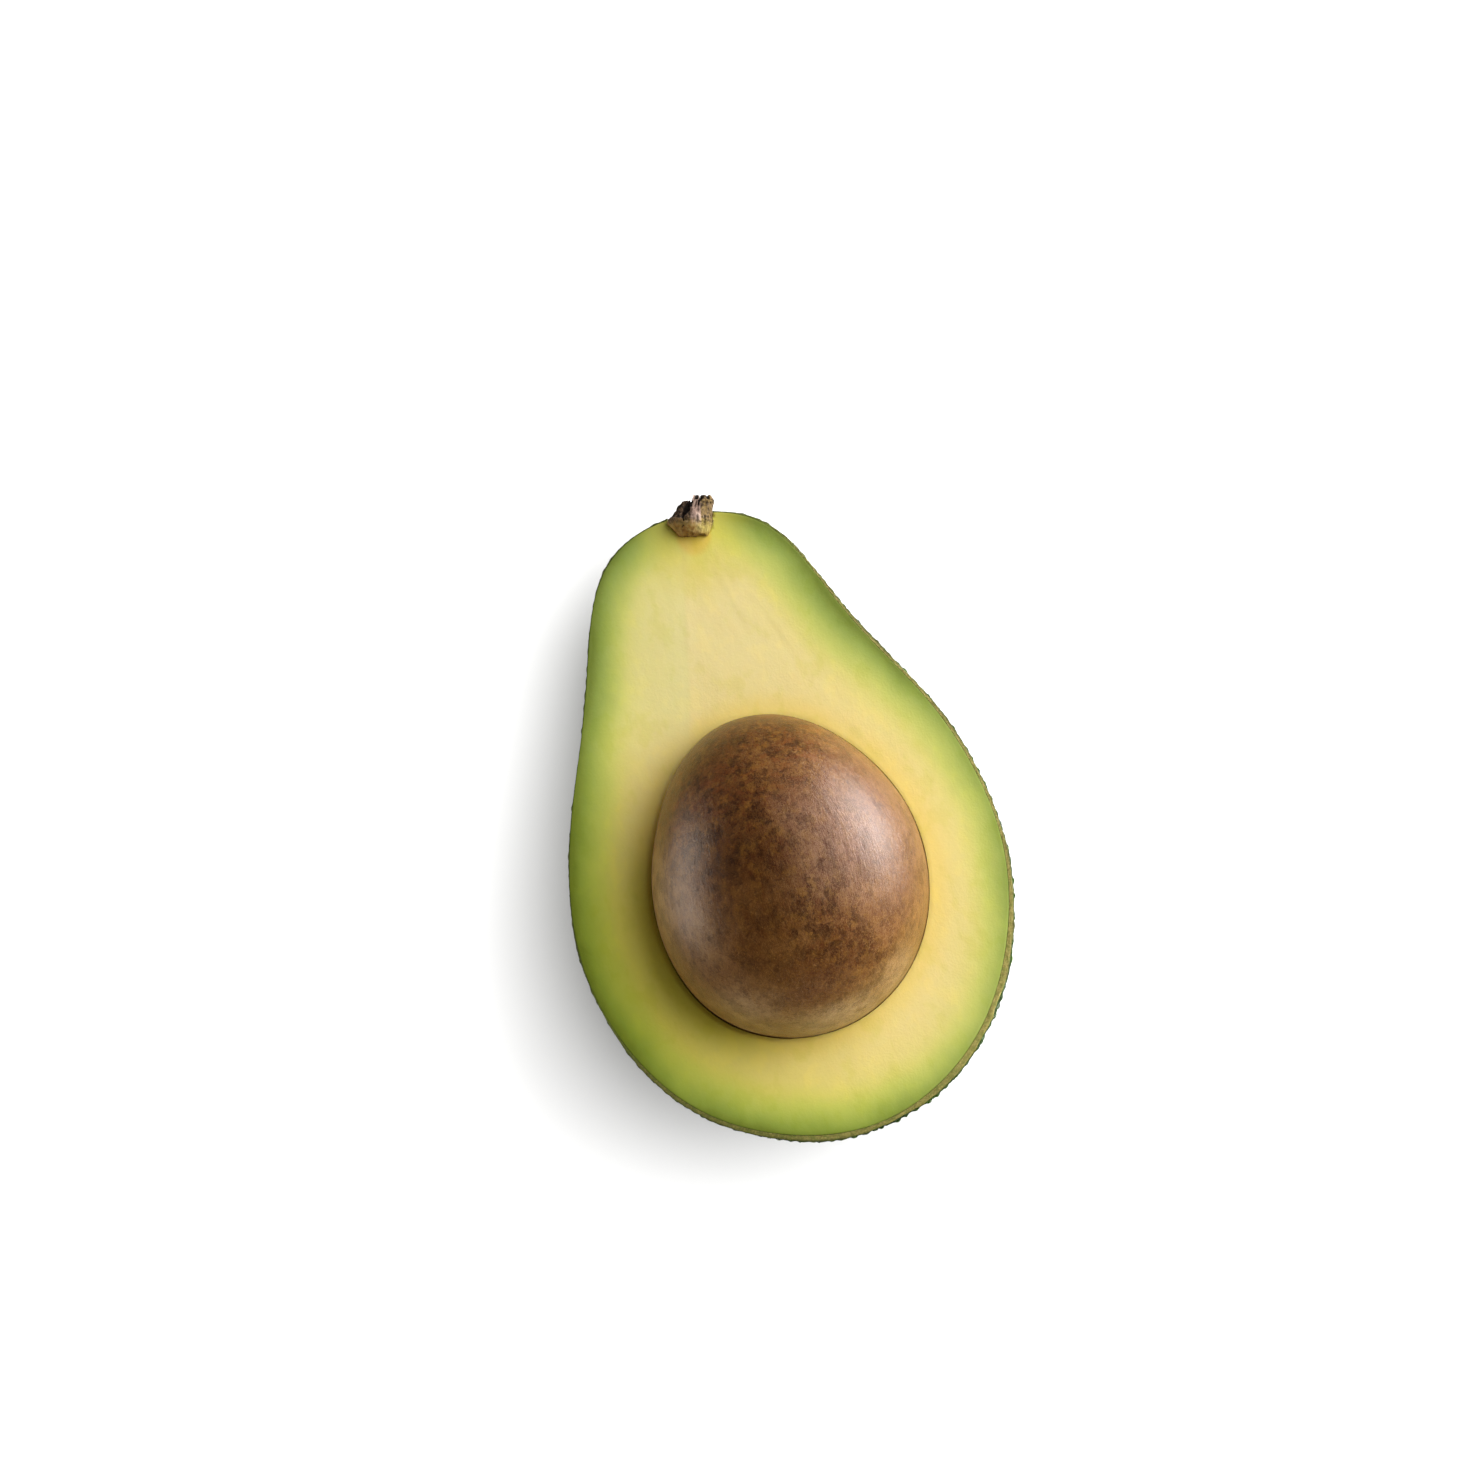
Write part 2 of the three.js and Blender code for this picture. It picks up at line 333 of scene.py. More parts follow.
def biggest_piece(pts, faces):
    """Drops everything but the largest joined piece."""
    label = np.arange(len(pts))
    while True:
        low = label[faces].min(1)
        new = label.copy()
        for k in range(faces.shape[1]):
            np.minimum.at(new, faces[:, k], low)
        new = new[new]
        if (new == label).all():
            break
        label = new
    names, counts = np.unique(label, return_counts=True)
    keep = label == names[counts.argmax()]
    number = np.cumsum(keep) - 1
    return pts[keep], number[faces[keep[faces[:, 0]]]]


# --------------------------------------------------------------------------
# Camera. It looks down on the half, nearly square to the cut face, from a
# little below it and to the right, with the stem end at the top.
# --------------------------------------------------------------------------
CAM_X = np.array([0.95107, -0.30376, -0.05654])
CAM_Y = np.array([0.29885, 0.95083, -0.08130])
CAM_Z = np.array([0.07846, 0.06043, 0.99508])
CAM_AT = np.array([0.05187, 0.05382, 0.69790])

cam_data = bpy.data.cameras.new("camera")
cam_data.sensor_width, cam_data.lens = 36.0, 100.0
cam_data.clip_start, cam_data.clip_end = 0.01, 20.0
camera = bpy.data.objects.new("camera", cam_data)
bpy.context.scene.collection.objects.link(camera)
m = Matrix.Identity(4)
for i in range(3):
    m[i][0], m[i][1], m[i][2], m[i][3] = CAM_X[i], CAM_Y[i], CAM_Z[i], CAM_AT[i]
camera.matrix_world = m
bpy.context.scene.camera = camera


# --------------------------------------------------------------------------
# Shader helpers
# --------------------------------------------------------------------------
class Shader:
    """A material's node tree, written as calls. Values are sockets or plain numbers."""

    def __init__(self, name):
        self.mat = bpy.data.materials.new(name)
        self.mat.use_nodes = True
        self.tree = self.mat.node_tree
        self.tree.nodes.clear()
        self.out = self.node("ShaderNodeOutputMaterial")

    def node(self, kind, **props):
        n = self.tree.nodes.new(kind)
        for k, v in props.items():
            setattr(n, k, v)
        return n

    def put(self, socket, value):
        if isinstance(value, bpy.types.NodeSocket):
            self.tree.links.new(value, socket)
        elif value is not None:
            socket.default_value = value

    def attr(self, name, vector=False):
        n = self.node("ShaderNodeAttribute", attribute_name=name)
        return n.outputs["Vector" if vector else "Fac"]

    def math(self, op, a, b=0.0, c=0.0, clamp=False):
        n = self.node("ShaderNodeMath", operation=op, use_clamp=clamp)
        for s, v in zip(n.inputs, (a, b, c)):
            self.put(s, v)
        return n.outputs[0]

    def span(self, x, lo, hi, a=0.0, b=1.0, soft=True):
        n = self.node("ShaderNodeMapRange", interpolation_type="SMOOTHSTEP" if soft else "LINEAR")
        n.clamp = True
        for s, v in zip(n.inputs, (x, lo, hi, a, b)):
            self.put(s, v)
        return n.outputs[0]

    def scaled(self, vec, s, offset=(0, 0, 0), rotation=(0, 0, 0)):
        n = self.node("ShaderNodeMapping")
        self.put(n.inputs["Vector"], vec)
        n.inputs["Location"].default_value = offset
        n.inputs["Rotation"].default_value = rotation
        n.inputs["Scale"].default_value = s if hasattr(s, "__len__") else (s, s, s)
        return n.outputs[0]

    def noise(self, vec, scale=1.0, detail=3.0, rough=0.5, warp=0.0):
        n = self.node("ShaderNodeTexNoise")
        self.put(n.inputs["Vector"], vec)
        n.inputs["Scale"].default_value = scale
        n.inputs["Detail"].default_value = detail
        n.inputs["Roughness"].default_value = rough
        n.inputs["Distortion"].default_value = warp
        return n.outputs["Fac"]

    def voronoi(self, vec, scale=1.0, feature="F1", random=1.0, out="Distance"):
        n = self.node("ShaderNodeTexVoronoi", feature=feature)
        self.put(n.inputs["Vector"], vec)
        n.inputs["Scale"].default_value = scale
        n.inputs["Randomness"].default_value = random
        return n.outputs[out]

    def mix(self, fac, a, b, blend="MIX"):
        n = self.node("ShaderNodeMix", data_type="RGBA", blend_type=blend)
        n.clamp_factor = True
        self.put(n.inputs[0], fac)
        for s, v in ((n.inputs[6], a), (n.inputs[7], b)):
            self.put(s, (*v, 1.0) if isinstance(v, tuple) and len(v) == 3 else v)
        return n.outputs[2]

    def ramp(self, fac, stops, ease="LINEAR"):
        n = self.node("ShaderNodeValToRGB")
        n.color_ramp.interpolation = ease
        el = n.color_ramp.elements
        while len(el) > 1:
            el.remove(el[-1])
        el[0].position, el[0].color = stops[0][0], (*stops[0][1], 1)
        for pos, col in stops[1:]:
            e = el.new(pos)
            e.color = (*col, 1)
        self.put(n.inputs[0], fac)
        return n.outputs[0]

    def bump(self, height, distance, strength=1.0, normal=None):
        n = self.node("ShaderNodeBump")
        n.inputs["Strength"].default_value = strength
        n.inputs["Distance"].default_value = distance
        self.put(n.inputs["Height"], height)
        if normal is not None:
            self.put(n.inputs["Normal"], normal)
        return n.outputs[0]

    def principled(self, **inputs):
        n = self.node("ShaderNodeBsdfPrincipled")
        for k, v in inputs.items():
            s = n.inputs[k.replace("_", " ")]
            self.put(s, (*v, 1.0) if isinstance(v, tuple) and len(v) == 3 and s.type == "RGBA" else v)
        self.tree.links.new(n.outputs[0], self.out.inputs[0])
        return n


def lin(r, g, b):
    """A colour given as 0 to 255 display values, as the linear numbers that shaders use."""
    f = lambda c: (c / 255 / 12.92) if c / 255 <= 0.04045 else ((c / 255 + 0.055) / 1.055) ** 2.4
    return (f(r), f(g), f(b))


# --------------------------------------------------------------------------
# The peel's warts: centres spread over the rounded back, no two too close
# --------------------------------------------------------------------------
def scatter(rng, tries, gap, placed=()):
    """Points on the fruit's back at least gap(point) apart, as an (n, 3) array."""
    a, t = rng.uniform(0, PI, tries), rng.uniform(0, PI, tries)
    e = 1e-3

    def at(a, t):
        p, q = edge(FRUIT, a), edge(FRUIT, -a)
        c, h = (p + q) / 2, (p - q) / 2
        xy = c + h * np.cos(t)[:, None]
        return np.c_[xy, -DEPTH_RATIO * np.linalg.norm(h, axis=1) * np.sin(t)]

    area = np.linalg.norm(np.cross(at(a + e, t) - at(a - e, t), at(a, t + e) - at(a, t - e)), axis=1)
    keep = rng.uniform(0, 1, tries) < area / area.max()
    pts = at(a[keep], t[keep])
    gaps = gap(pts)
    size = 2.6
    cells, chosen = {}, []

    def near(p, g):
        k = (int(p[0] // size), int(p[1] // size), int(p[2] // size))
        for i in (-1, 0, 1):
            for j in (-1, 0, 1):
                for l in (-1, 0, 1):
                    for q in cells.get((k[0] + i, k[1] + j, k[2] + l), ()):
                        if (q[0] - p[0]) ** 2 + (q[1] - p[1]) ** 2 + (q[2] - p[2]) ** 2 < g * g:
                            return True
        return False

    for p in placed:
        cells.setdefault((int(p[0] // size), int(p[1] // size), int(p[2] // size)), []).append(tuple(p))
    for p, g in zip(pts.tolist(), gaps.tolist()):
        if not near(p, g):
            cells.setdefault((int(p[0] // size), int(p[1] // size), int(p[2] // size)), []).append(tuple(p))
            chosen.append(p)
    return np.array(chosen)


class Warts:
    """The warts' centres, sizes and pale tips, and the height that they give a point of the peel."""

    def __init__(self):
        rng = np.random.default_rng(41)
        big = scatter(rng, 60000, lambda p: 1.75 + 0.38 * fbm(p, 16, 2, 5))
        small = scatter(rng, 60000, lambda p: np.full(len(p), 1.02), big)
        n, k = len(big), len(small)
        self.at = np.vstack([big, small])
        self.radius = np.r_[rng.uniform(0.62, 1.02, n), rng.uniform(0.42, 0.62, k)]
        self.height = np.r_[rng.uniform(0.20, 0.44, n), rng.uniform(0.06, 0.16, k)]
        self.tip = np.r_[rng.uniform(0.17, 0.36, n), rng.uniform(0.12, 0.22, k)]
        self.tip[rng.uniform(0, 1, n + k) < 0.30] = -0.3
        self.tree = KDTree(n + k)
        for i, p in enumerate(self.at.tolist()):
            self.tree.insert(p, i)
        self.tree.balance()

    def __call__(self, pts):
        """Height of the warts, and the distance past the nearest pale tip's edge, at each point."""
        flat = np.asarray(pts, float).reshape(-1, 3)
        near = np.zeros((len(flat), 4), int)
        dist = np.full((len(flat), 4), 9.0)
        find = self.tree.find_n
        for i, p in enumerate(flat.tolist()):
            for j, (_, idx, d) in enumerate(find(p, 4)):
                near[i, j], dist[i, j] = idx, d
        x = np.clip(dist / self.radius[near], 0, 1)
        rise = (self.height[near] * (1 - x * x) ** 1.6).sum(1)
        past = (dist - self.tip[near]).min(1)
        shape = np.shape(pts)[:-1]
        return np.minimum(rise, 0.50).reshape(shape), past.reshape(shape)


warts = Warts()


def peel_thickness(a, t):
    """Thickness of the peel as cut: thin on the left, thicker on the right and at the blossom end."""
    a, t = np.broadcast_arrays(a, t)
    across = np.cos(t) * smooth(0, 0.6, np.sin(a))
    return 0.56 + 0.12 * smooth(0.4, 1.6, a) + 0.19 * across + smooth(1.75, 2.5, a) * (0.64 + 0.04 * across)


def knife_level(p):
    """Height of the cut face over its plane: the knife left it very slightly wavy."""
    flat = np.stack([p[..., 0], p[..., 1] * 0.6, 0 * p[..., 0]], -1)
    return -0.09 + 0.065 * fbm(flat, 17, 2, 51)


def rows_and_normals(curve, ratio, a, t):
    """Points and outward normals of a round body, tidied at its ends and on its cut edge."""
    p, n = body(curve, ratio, a, t), body_normal(curve, ratio, a, t)
    n[0], n[-1] = (0, 1, 0), (0, -1, 0)
    for j in range(len(t)):
        if abs(math.sin(t[j])) < 1e-9:
            n[:, j, 2] = 0
            n[:, j] /= np.linalg.norm(n[:, j], axis=-1, keepdims=True)
            p[:, j, 2] = 0
    return p, n


def one_point_rows(real, first, last):
    """In an array of point numbers, makes each end row one point, new or given."""
    real[0], real[-1] = first, last
    return real


def unrolled(a, t, p, span, left, bottom, width, height, turn=0.0):
    """A map of a round body: each row laid out flat, as long as the body is wide there."""
    half = np.linalg.norm((p[:, 0] - p[:, -1]), axis=-1) if span < 1.5 * PI else np.ptp(p[..., 0], axis=1)
    wide = half / half.max()
    mid = p[:, p.shape[1] // 2]
    arc = np.r_[0, np.cumsum(np.linalg.norm(np.diff(mid, axis=0), axis=1))]
    arc /= arc[-1]
    u = left + width * (0.5 + 0.5 * (1 - 2 * (t[None] - turn) / span) * np.maximum(wide, 0.002)[:, None])
    v = bottom + height * np.broadcast_to(1 - arc[:, None], u.shape)
    return np.stack([u, v], -1)


def hold_in_box(p):
    """Keeps the highest warts inside the length and width of the fruit."""
    x0, y0 = 36.40, 53.99
    q = to_world(p) * 1000
    q[..., 0] = np.clip(q[..., 0], -x0, x0)
    q[..., 1] = np.clip(q[..., 1], -y0, y0)
    return to_fruit(q / 1000)


def build_skin():
    rows, cols, inner = 360, 228, 24
    a = np.linspace(0, PI, rows + 1)
    t, ti = np.linspace(0, PI, cols + 1), np.linspace(0, PI, inner + 1)
    p, n = rows_and_normals(FRUIT, DEPTH_RATIO, a, t)
    rise, past = warts(p)
    rise = rise * (0.40 + 0.60 * smooth(0.2, 3.2, -p[..., 2]))     # the knife flattened those next to the cut
    rough_end = smooth(1.9, 2.5, a)[:, None] * smooth(-0.4, 0.5, np.cos(t))[None]
    inset = (0.34 - rise - (0.17 + 0.20 * rough_end) * fbm(p, 7.0, 2, 11)
             - (0.04 + 0.14 * rough_end) * fbm(p, 2.6, 2, 12) + 0.10 * rough_end)
    out = p - n * inset[..., None]
    out[0], out[-1] = out[0, cols // 2], out[-1, cols // 2]
    out[..., 2] = np.minimum(out[..., 2], knife_level(out) - 0.10)
    out = settle(out)
    out = hold_in_box(out)
    q, m = rows_and_normals(FRUIT, DEPTH_RATIO, a, ti)
    inn = q - m * peel_thickness(a[:, None], ti[None])[..., None]
    inn[0], inn[-1] = inn[0, inner // 2], inn[-1, inner // 2]
    inn[..., 2] = np.minimum(inn[..., 2], knife_level(inn) - 0.01)
    inn = settle(inn, 1.15)

    work = Patchwork()
    uv_out = unrolled(a, t, p, PI, 0.01, 0.01, 0.77, 0.98)
    uv_in = unrolled(a, ti, q, PI, 0.80, 0.01, 0.12, 0.78)
    real = np.full((rows + 1, cols + 1), -1)
    end, _ = work.add(out[[0, -1], cols // 2], uv_out[[0, -1], cols // 2])
    o, o_real = work.add(out, uv_out, one_point_rows(real, 0, 1))
    end, end_real = work.add(inn[[0, -1], inner // 2], uv_in[[0, -1], inner // 2])
    real = np.full((rows + 1, inner + 1), -1)
    i, i_real = work.add(inn, uv_in, one_point_rows(real, end_real[0], end_real[1]))
    work.quads(o)
    work.quads(i, flip=True)
    # the cut rim, right and left, from the outside edge to the inside edge
    steps = np.array([0.09, 0.22, 0.40, 0.60, 0.80, 0.93])
    ends = None
    for side, jo, ji in ((0, 0, 0), (1, -1, -1)):
        oe, ie = out[:, jo], inn[:, ji]
        r = oe[:, None] + (ie - oe)[:, None] * steps[None, :, None]
        drop_ = 0.10 * (1 - smooth(0, 0.25, steps)) + 0.02
        r[..., 2] = knife_level(r) - drop_[None] + (0.045 * fbm(r, 0.7, 2, 21) + 0.035 * fbm(r, 2.6, 2, 22)) * (1 - steps[None] ** 6)
        full = np.concatenate([oe[:, None], r, ie[:, None]], 1)
        v = 0.01 + 0.98 * np.linspace(1, 0, rows + 1)[:, None] * np.ones((1, 8))
        u = (0.945 if side == 0 else 0.978) + 0.022 * (np.r_[0, steps, 1][None] - 0.5) * np.ones((rows + 1, 1))
        real = np.full((rows + 1, 8), -1)
        real[:, 0], real[:, -1] = o_real[:, jo], i_real[:, ji]
        if ends is not None:
            real[0, 1:-1], real[-1, 1:-1] = ends
        g, g_real = work.add(full, np.stack([u, v], -1), real, mark=1.0)
        ends = (g_real[0, 1:-1].copy(), g_real[-1, 1:-1].copy())
        work.quads(g, flip=(side == 0))
    return work.build("peel")


def seed_to_fruit(p):
    c, s = math.cos(SEED_LEAN), math.sin(SEED_LEAN)
    return np.stack([p[..., 0] * c + p[..., 1] * s + SEED_CENTRE[0],
                     -p[..., 0] * s + p[..., 1] * c + SEED_CENTRE[1], p[..., 2]], -1)


def build_flesh():
    rows, back, pit, rings = 240, 24, 30, 100
    a = np.linspace(0, PI, rows + 1)
    tb, tp = np.linspace(0, PI, back + 1), np.linspace(0, PI, pit + 1)
    q, m = rows_and_normals(FRUIT, DEPTH_RATIO, a, tb)
    outer = q - m * (peel_thickness(a[:, None], tb[None]) + 0.025)[..., None]
    outer[0], outer[-1] = outer[0, back // 2], outer[-1, back // 2]
    outer = settle(outer, 1.15 + 0.1)
    c, k = rows_and_normals(SEED, SEED_DEPTH_RATIO, a, tp)
    low_left = smooth(0.20, 0.95, k @ np.array([-0.93, -0.22, -0.3]))
    hole = seed_to_fruit(c + k * (0.015 + 0.24 * low_left)[..., None])
    hole[0], hole[-1] = hole[0, pit // 2], hole[-1, pit // 2]
    # the cut face: a ring of stations, clockwise from the stem end, and rings from the seed outwards
    ring_o = np.vstack([outer[:, 0], outer[-2:0:-1, -1]])
    ring_i = np.vstack([hole[:, 0], hole[-2:0:-1, -1]])
    length = np.linalg.norm(ring_o - ring_i, axis=1)
    near = np.array([0, 0.07, 0.17, 0.31, 0.50, 0.75, 1.05])
    mid = np.linspace(0, 1, rings + 1 - 2 * len(near) + 2)[1:-1]
    s = np.concatenate([near[None] / length[:, None],
                        near[-1] / length[:, None] + mid[None] * (1 - 2 * near[-1] / length[:, None]),
                        1 - near[None, ::-1] / length[:, None]], 1)
    face = ring_i[:, None] + (ring_o - ring_i)[:, None] * s[..., None]
    di, do = s * length[:, None], (1 - s) * length[:, None]
    w = (knife_level(face) + 0.014 * fbm(face, 3.5, 2, 52) * smooth(0, 2, do)
         - (0.05 + 0.24 * np.r_[low_left[:, 0], low_left[-2:0:-1, -1]][:, None]) * (1 - smooth(0, 0.9, di)) ** 2
         - 0.03 * (1 - smooth(0, 0.25, do)))
    face[..., 2] = np.minimum(w, -0.01)
    top = lambda r: np.stack([0.37 + (r[..., 0] - 0.3) / 108, 0.5 + (r[..., 1] - 0.0) / 108], -1)
    work = Patchwork()
    f, f_real = work.add(face, top(face), mark=1.0)
    f = np.vstack([f, f[:1]])
    work.quads(f, flip=False)
    n = 2 * rows
    right, left = np.arange(rows + 1), (n - np.arange(rows + 1)) % n
    for grid, cols, edge_real, left_u, bottom, height, flip, mark in (
            (outer, back, f_real[:, -1], 0.72, 0.51, 0.48, False, 0.0),
            (hole, pit, f_real[:, 0], 0.72, 0.01, 0.40, True, 0.5)):
        real = np.full((rows + 1, cols + 1), -1)
        real[:, 0], real[:, -1] = edge_real[right], edge_real[left]
        real[0], real[-1] = edge_real[0], edge_real[rows]
        t = np.linspace(0, PI, cols + 1)
        g, _ = work.add(grid, unrolled(a, t, grid, PI, left_u, bottom, 0.27, height), real, mark)
        work.quads(g, flip=flip)
    return work.build("flesh_cut")


def build_seed():
    rows, cols = 226, 300
    a = np.linspace(0, PI, rows + 1)
    t = np.linspace(PI / 2, PI / 2 + 2 * PI, cols + 1)
    p, n = body(SEED, SEED_DEPTH_RATIO, a, t), body_normal(SEED, SEED_DEPTH_RATIO, a, t)
    n[0], n[-1] = (0, 1, 0), (0, -1, 0)
    grain = np.stack([np.cos(t)[None] * 9 * np.ones((rows + 1, 1)), p[..., 1] * 0.12,
                      np.sin(t)[None] * 9 * np.ones((rows + 1, 1))], -1)
    inset = (0.07 + 0.05 * fbm(p, 15, 2, 61) + 0.03 * fbm(p, 4, 2, 62) + 0.018 * fbm(grain, 1, 2, 63)
             + 0.012 * fbm(p, 1.1, 2, 64))
    p = p - n * np.maximum(inset, 0.01)[..., None]
    p[0], p[-1] = p[0].mean(0), p[-1].mean(0)
    p[:, -1] = p[:, 0]
    work = Patchwork()
    uv = unrolled(a, t, p, 2 * PI, 0.01, 0.01, 0.98, 0.98, turn=PI / 2)
    ends, _ = work.add(p[[0, -1], 0], uv[[0, -1], 0])
    real = np.full((rows + 1, cols + 1), -1)
    real[0], real[-1] = 0, 1
    real[1:-1, :-1] = 2 + np.arange((rows - 1) * cols).reshape(rows - 1, cols)
    real[1:-1, -1] = real[1:-1, 0]
    fresh = np.full_like(real, -1)
    fresh[0], fresh[-1] = 0, 1
    fresh[1:-1, -1] = real[1:-1, 0]
    g, _ = work.add(seed_to_fruit(p), uv, fresh)
    work.points[0] = seed_to_fruit(p[[0, -1], 0])
    work.quads(g)
    return work.build("seed_whole")


# --------------------------------------------------------------------------
# The stub of the stem, in its own frame: x across, y up its axis, z towards
# the cut face's side. Its outline as seen from the cut side is not round.
# --------------------------------------------------------------------------
STUB_H = np.array([0.00, 0.25, 1.10, 1.80, 2.45, 2.85, 3.30, 3.80, 4.80, 5.60, 6.05, 6.25, 7.05, 7.40])
STUB_L = np.array([-1.95, -2.40, -3.20, -3.95, -4.62, -4.55, -3.85, -3.45, -2.95, -2.35, -1.85, -0.55, -0.42, -0.3])
STUB_R = np.array([1.55, 2.05, 2.50, 2.75, 2.90, 2.95, 2.95, 2.88, 2.80, 2.98, 3.18, 3.22, 2.70, 2.4])


def stub_to_fruit(p):
    c, s = math.cos(STUB_LEAN), math.sin(STUB_LEAN)
    return np.stack([p[..., 0] * c + p[..., 1] * s + STUB_FOOT[0],
                     -p[..., 0] * s + p[..., 1] * c + STUB_FOOT[1], p[..., 2]], -1)


def fruit_to_stub(p):
    c, s = math.cos(STUB_LEAN), math.sin(STUB_LEAN)
    x, y = p[..., 0] - STUB_FOOT[0], p[..., 1] - STUB_FOOT[1]
    return np.stack([x * c - y * s, x * s + y * c, p[..., 2]], -1)


def stub_round(p, grow=0.0):
    """The stub without its breaks: a leaning, waisted plug with a rounded foot."""
    x, y, z = p[..., 0], p[..., 1], p[..., 2]
    h = np.clip(y, 0, 7.4)
    l, r = np.interp(h, STUB_H, STUB_L) - grow, np.interp(h, STUB_H, STUB_R) + grow
    rx, rz = (r - l) / 2, np.minimum((r - l) / 2 * 0.95, np.interp(h, [0, 1.1, 2.8, 4.5, 6, 7.4],
                                                                   [2.15, 2.85, 3.35, 2.9, 2.55, 2.0]) + grow)
    d = np.hypot((x - (l + r) / 2) / rx, z / rz)
    side = (d - 1) * np.minimum(rx, rz)
    # the foot ends in a ragged, slightly hollow edge
    ragged = 0.36 + 0.30 * noise(np.stack([x * 1.25, z * 0.9, 0 * y], -1), 79) + 0.16 * noise(np.stack([x * 2.9, z * 2.4, 0 * y], -1), 70)
    foot = ragged + 0.30 * np.exp(-((x + 0.3) / 0.38) ** 2) * smooth(0.3, 1.6, z) - y - grow
    return np.maximum(np.maximum(side, -y - grow), foot * 0.8)


def stub_field(p):
    x, y, z = p[..., 0], p[..., 1], p[..., 2]
    l, r = np.interp(y, STUB_H, STUB_L), np.interp(y, STUB_H, STUB_R)
    mx = (l + r) / 2
    ang = np.arctan2(z, x - 0.35 - 0.08 * y)
    f = stub_round(p)
    # the foot is lumpy, and smoother than the broken upper part
    woody = smooth(1.3, 3.4, y)
    # ragged top: each part of the stub broke off at its own height
    chip = fbm(np.stack([x, z * 1.0, 0 * y + 3.1], -1), 0.85, 3, 71)
    shard = fbm(np.stack([x, z, 0 * y + 9.7], -1), 2.1, 2, 72)
    top = 6.85 + 0.50 * shard + 0.40 * chip - 0.35 * smooth(2.5, 3.3, x)
    middle = np.exp(-((x - 0.30) / 0.66) ** 4)
    top = np.where(middle > 0.4, np.maximum(top, 7.10 + 0.25 * chip), top)
    left = 1 - smooth(-0.60, -0.30, x)
    top = top * (1 - left) + left * np.minimum(top, 6.10 + 0.20 * chip + 0.40 * shard)
    top = np.minimum(top, 7.28)
    f = np.maximum(f, (y - top) * 0.75)
    # long splits, widest at the top: angle, height where it starts, width at the top, depth, seed
    for k, (phi, y0, wide, deep) in enumerate(((128, 2.3, 1.10, 2.3), (82, 4.4, 0.40, 1.2), (40, 4.6, 0.26, 0.8),
                                               (150, 3.4, 0.22, 0.8), (201, 3.6, 0.50, 1.3), (-38, 4.0, 0.45, 1.6),
                                               (-84, 3.2, 0.55, 1.9), (-128, 4.2, 0.42, 1.4), (98, 3.6, 0.14, 0.4),
                                               (60, 3.2, 0.22, 0.70), (8, 3.0, 0.22, 0.6), (168, 2.6, 0.2, 0.6),
                                               (-60, 2.1, 0.24, 0.7), (-105, 2.0, 0.22, 0.6), (208, 2.0, 0.22, 0.7))):
        a = math.radians(phi) + 0.16 * noise(np.stack([y * 0.9, 0 * y + 3.7 * k, 0 * y], -1), 80 + k)
        rad = np.hypot(z, x - 0.35 - 0.08 * y)
        off = np.abs((ang - a + PI) % (2 * PI) - PI) * rad
        open_ = wide / 2 * smooth(y0, y0 + 2.6, y) + 0.10 * smooth(y0 - 0.3, y0 + 0.4, y) - 0.02
        floor_ = rad - (np.interp(y, [0, 2.8, 7.4], [2.6, 3.6, 2.3]) - deep * smooth(y0 - 0.4, y0 + 1.6, y))
        slot = np.maximum(off - open_, -floor_)
        f = np.maximum(f, -slot * 0.9)
    # fibres along the axis, flaking bark at the flange, lumps at the foot
    q = np.stack([x * 2.6, z * 2.6, y * 0.42], -1)
    f = f + woody * (0.14 * noise(q, 73) + 0.08 * noise(q * 2.1, 74) + 0.20 * fbm(p * (1, 0.6, 1), 0.9, 2, 70)) + 0.06 * fbm(p, 0.55, 2, 75)
    flange = np.exp(-((y - 2.75) / 0.75) ** 2)
    f = f + flange * 0.34 * fbm(p * (1, 1.9, 1), 1.0, 3, 76)
    f = f + (1 - woody) * (0.12 * fbm(p, 1.5, 2, 77) + 0.16 * fbm(p * (1.5, 0.8, 1.5), 1.0, 2, 78))
    return f


def build_stub():
    def field(p):
        f = stub_round(p)
        near = f < 0.5
        f[near] = stub_field(p[near])
        return f
    pts, faces = surface_net(field, (-5.2, -0.45, -4.0), (4.0, 7.6, 4.0), 0.095)
    pts, faces = biggest_piece(pts, faces)
    ob = new_object("stub", stub_to_fruit(pts), faces.tolist())
    # how deep in a split or under a ledge each point is, which darkens it there as painted shade, and which strand of
    # wood it belongs to
    set_attr(ob, "deep", np.clip(-stub_round(pts) / 0.9, 0, 1))
    set_attr(ob, "place", pts)
    return ob


def build_socket(at):
    """The room that the stub takes in the flesh and the peel, open upwards."""
    def field(p):
        low = stub_round(np.stack([p[..., 0], np.minimum(p[..., 1], 2.55), p[..., 2]], -1), 0.05)
        return np.maximum(low + 0.03 * fbm(p, 1.3, 2, 79), p[..., 1] - 12)
    pts, faces = surface_net(field, (-5.6, -0.9, -4.9), (4.6, 12.6, 4.9), 0.16)
    ob = new_object("socket", stub_to_fruit(pts), faces.tolist())
    phi, r = np.arctan2(pts[:, 2], pts[:, 0]), np.hypot(pts[:, 0], pts[:, 2]) * 0.8 + np.maximum(pts[:, 1], 0)
    uv = np.array(at[:2]) + at[2] * np.minimum(r / 11, 1)[:, None] * np.c_[np.cos(phi), np.sin(phi)]
    layer = ob.data.uv_layers.new(name="OFBake")
    loops = np.empty(len(ob.data.loops), np.int32)
    ob.data.loops.foreach_get("vertex_index", loops)
    layer.uv.foreach_set("vector", uv[loops].astype(np.float32).ravel())
    set_attr(ob, "mark", np.full(len(pts), 2.0))
    return ob


def drop(ob):
    mesh = ob.data
    bpy.data.objects.remove(ob)
    bpy.data.meshes.remove(mesh)


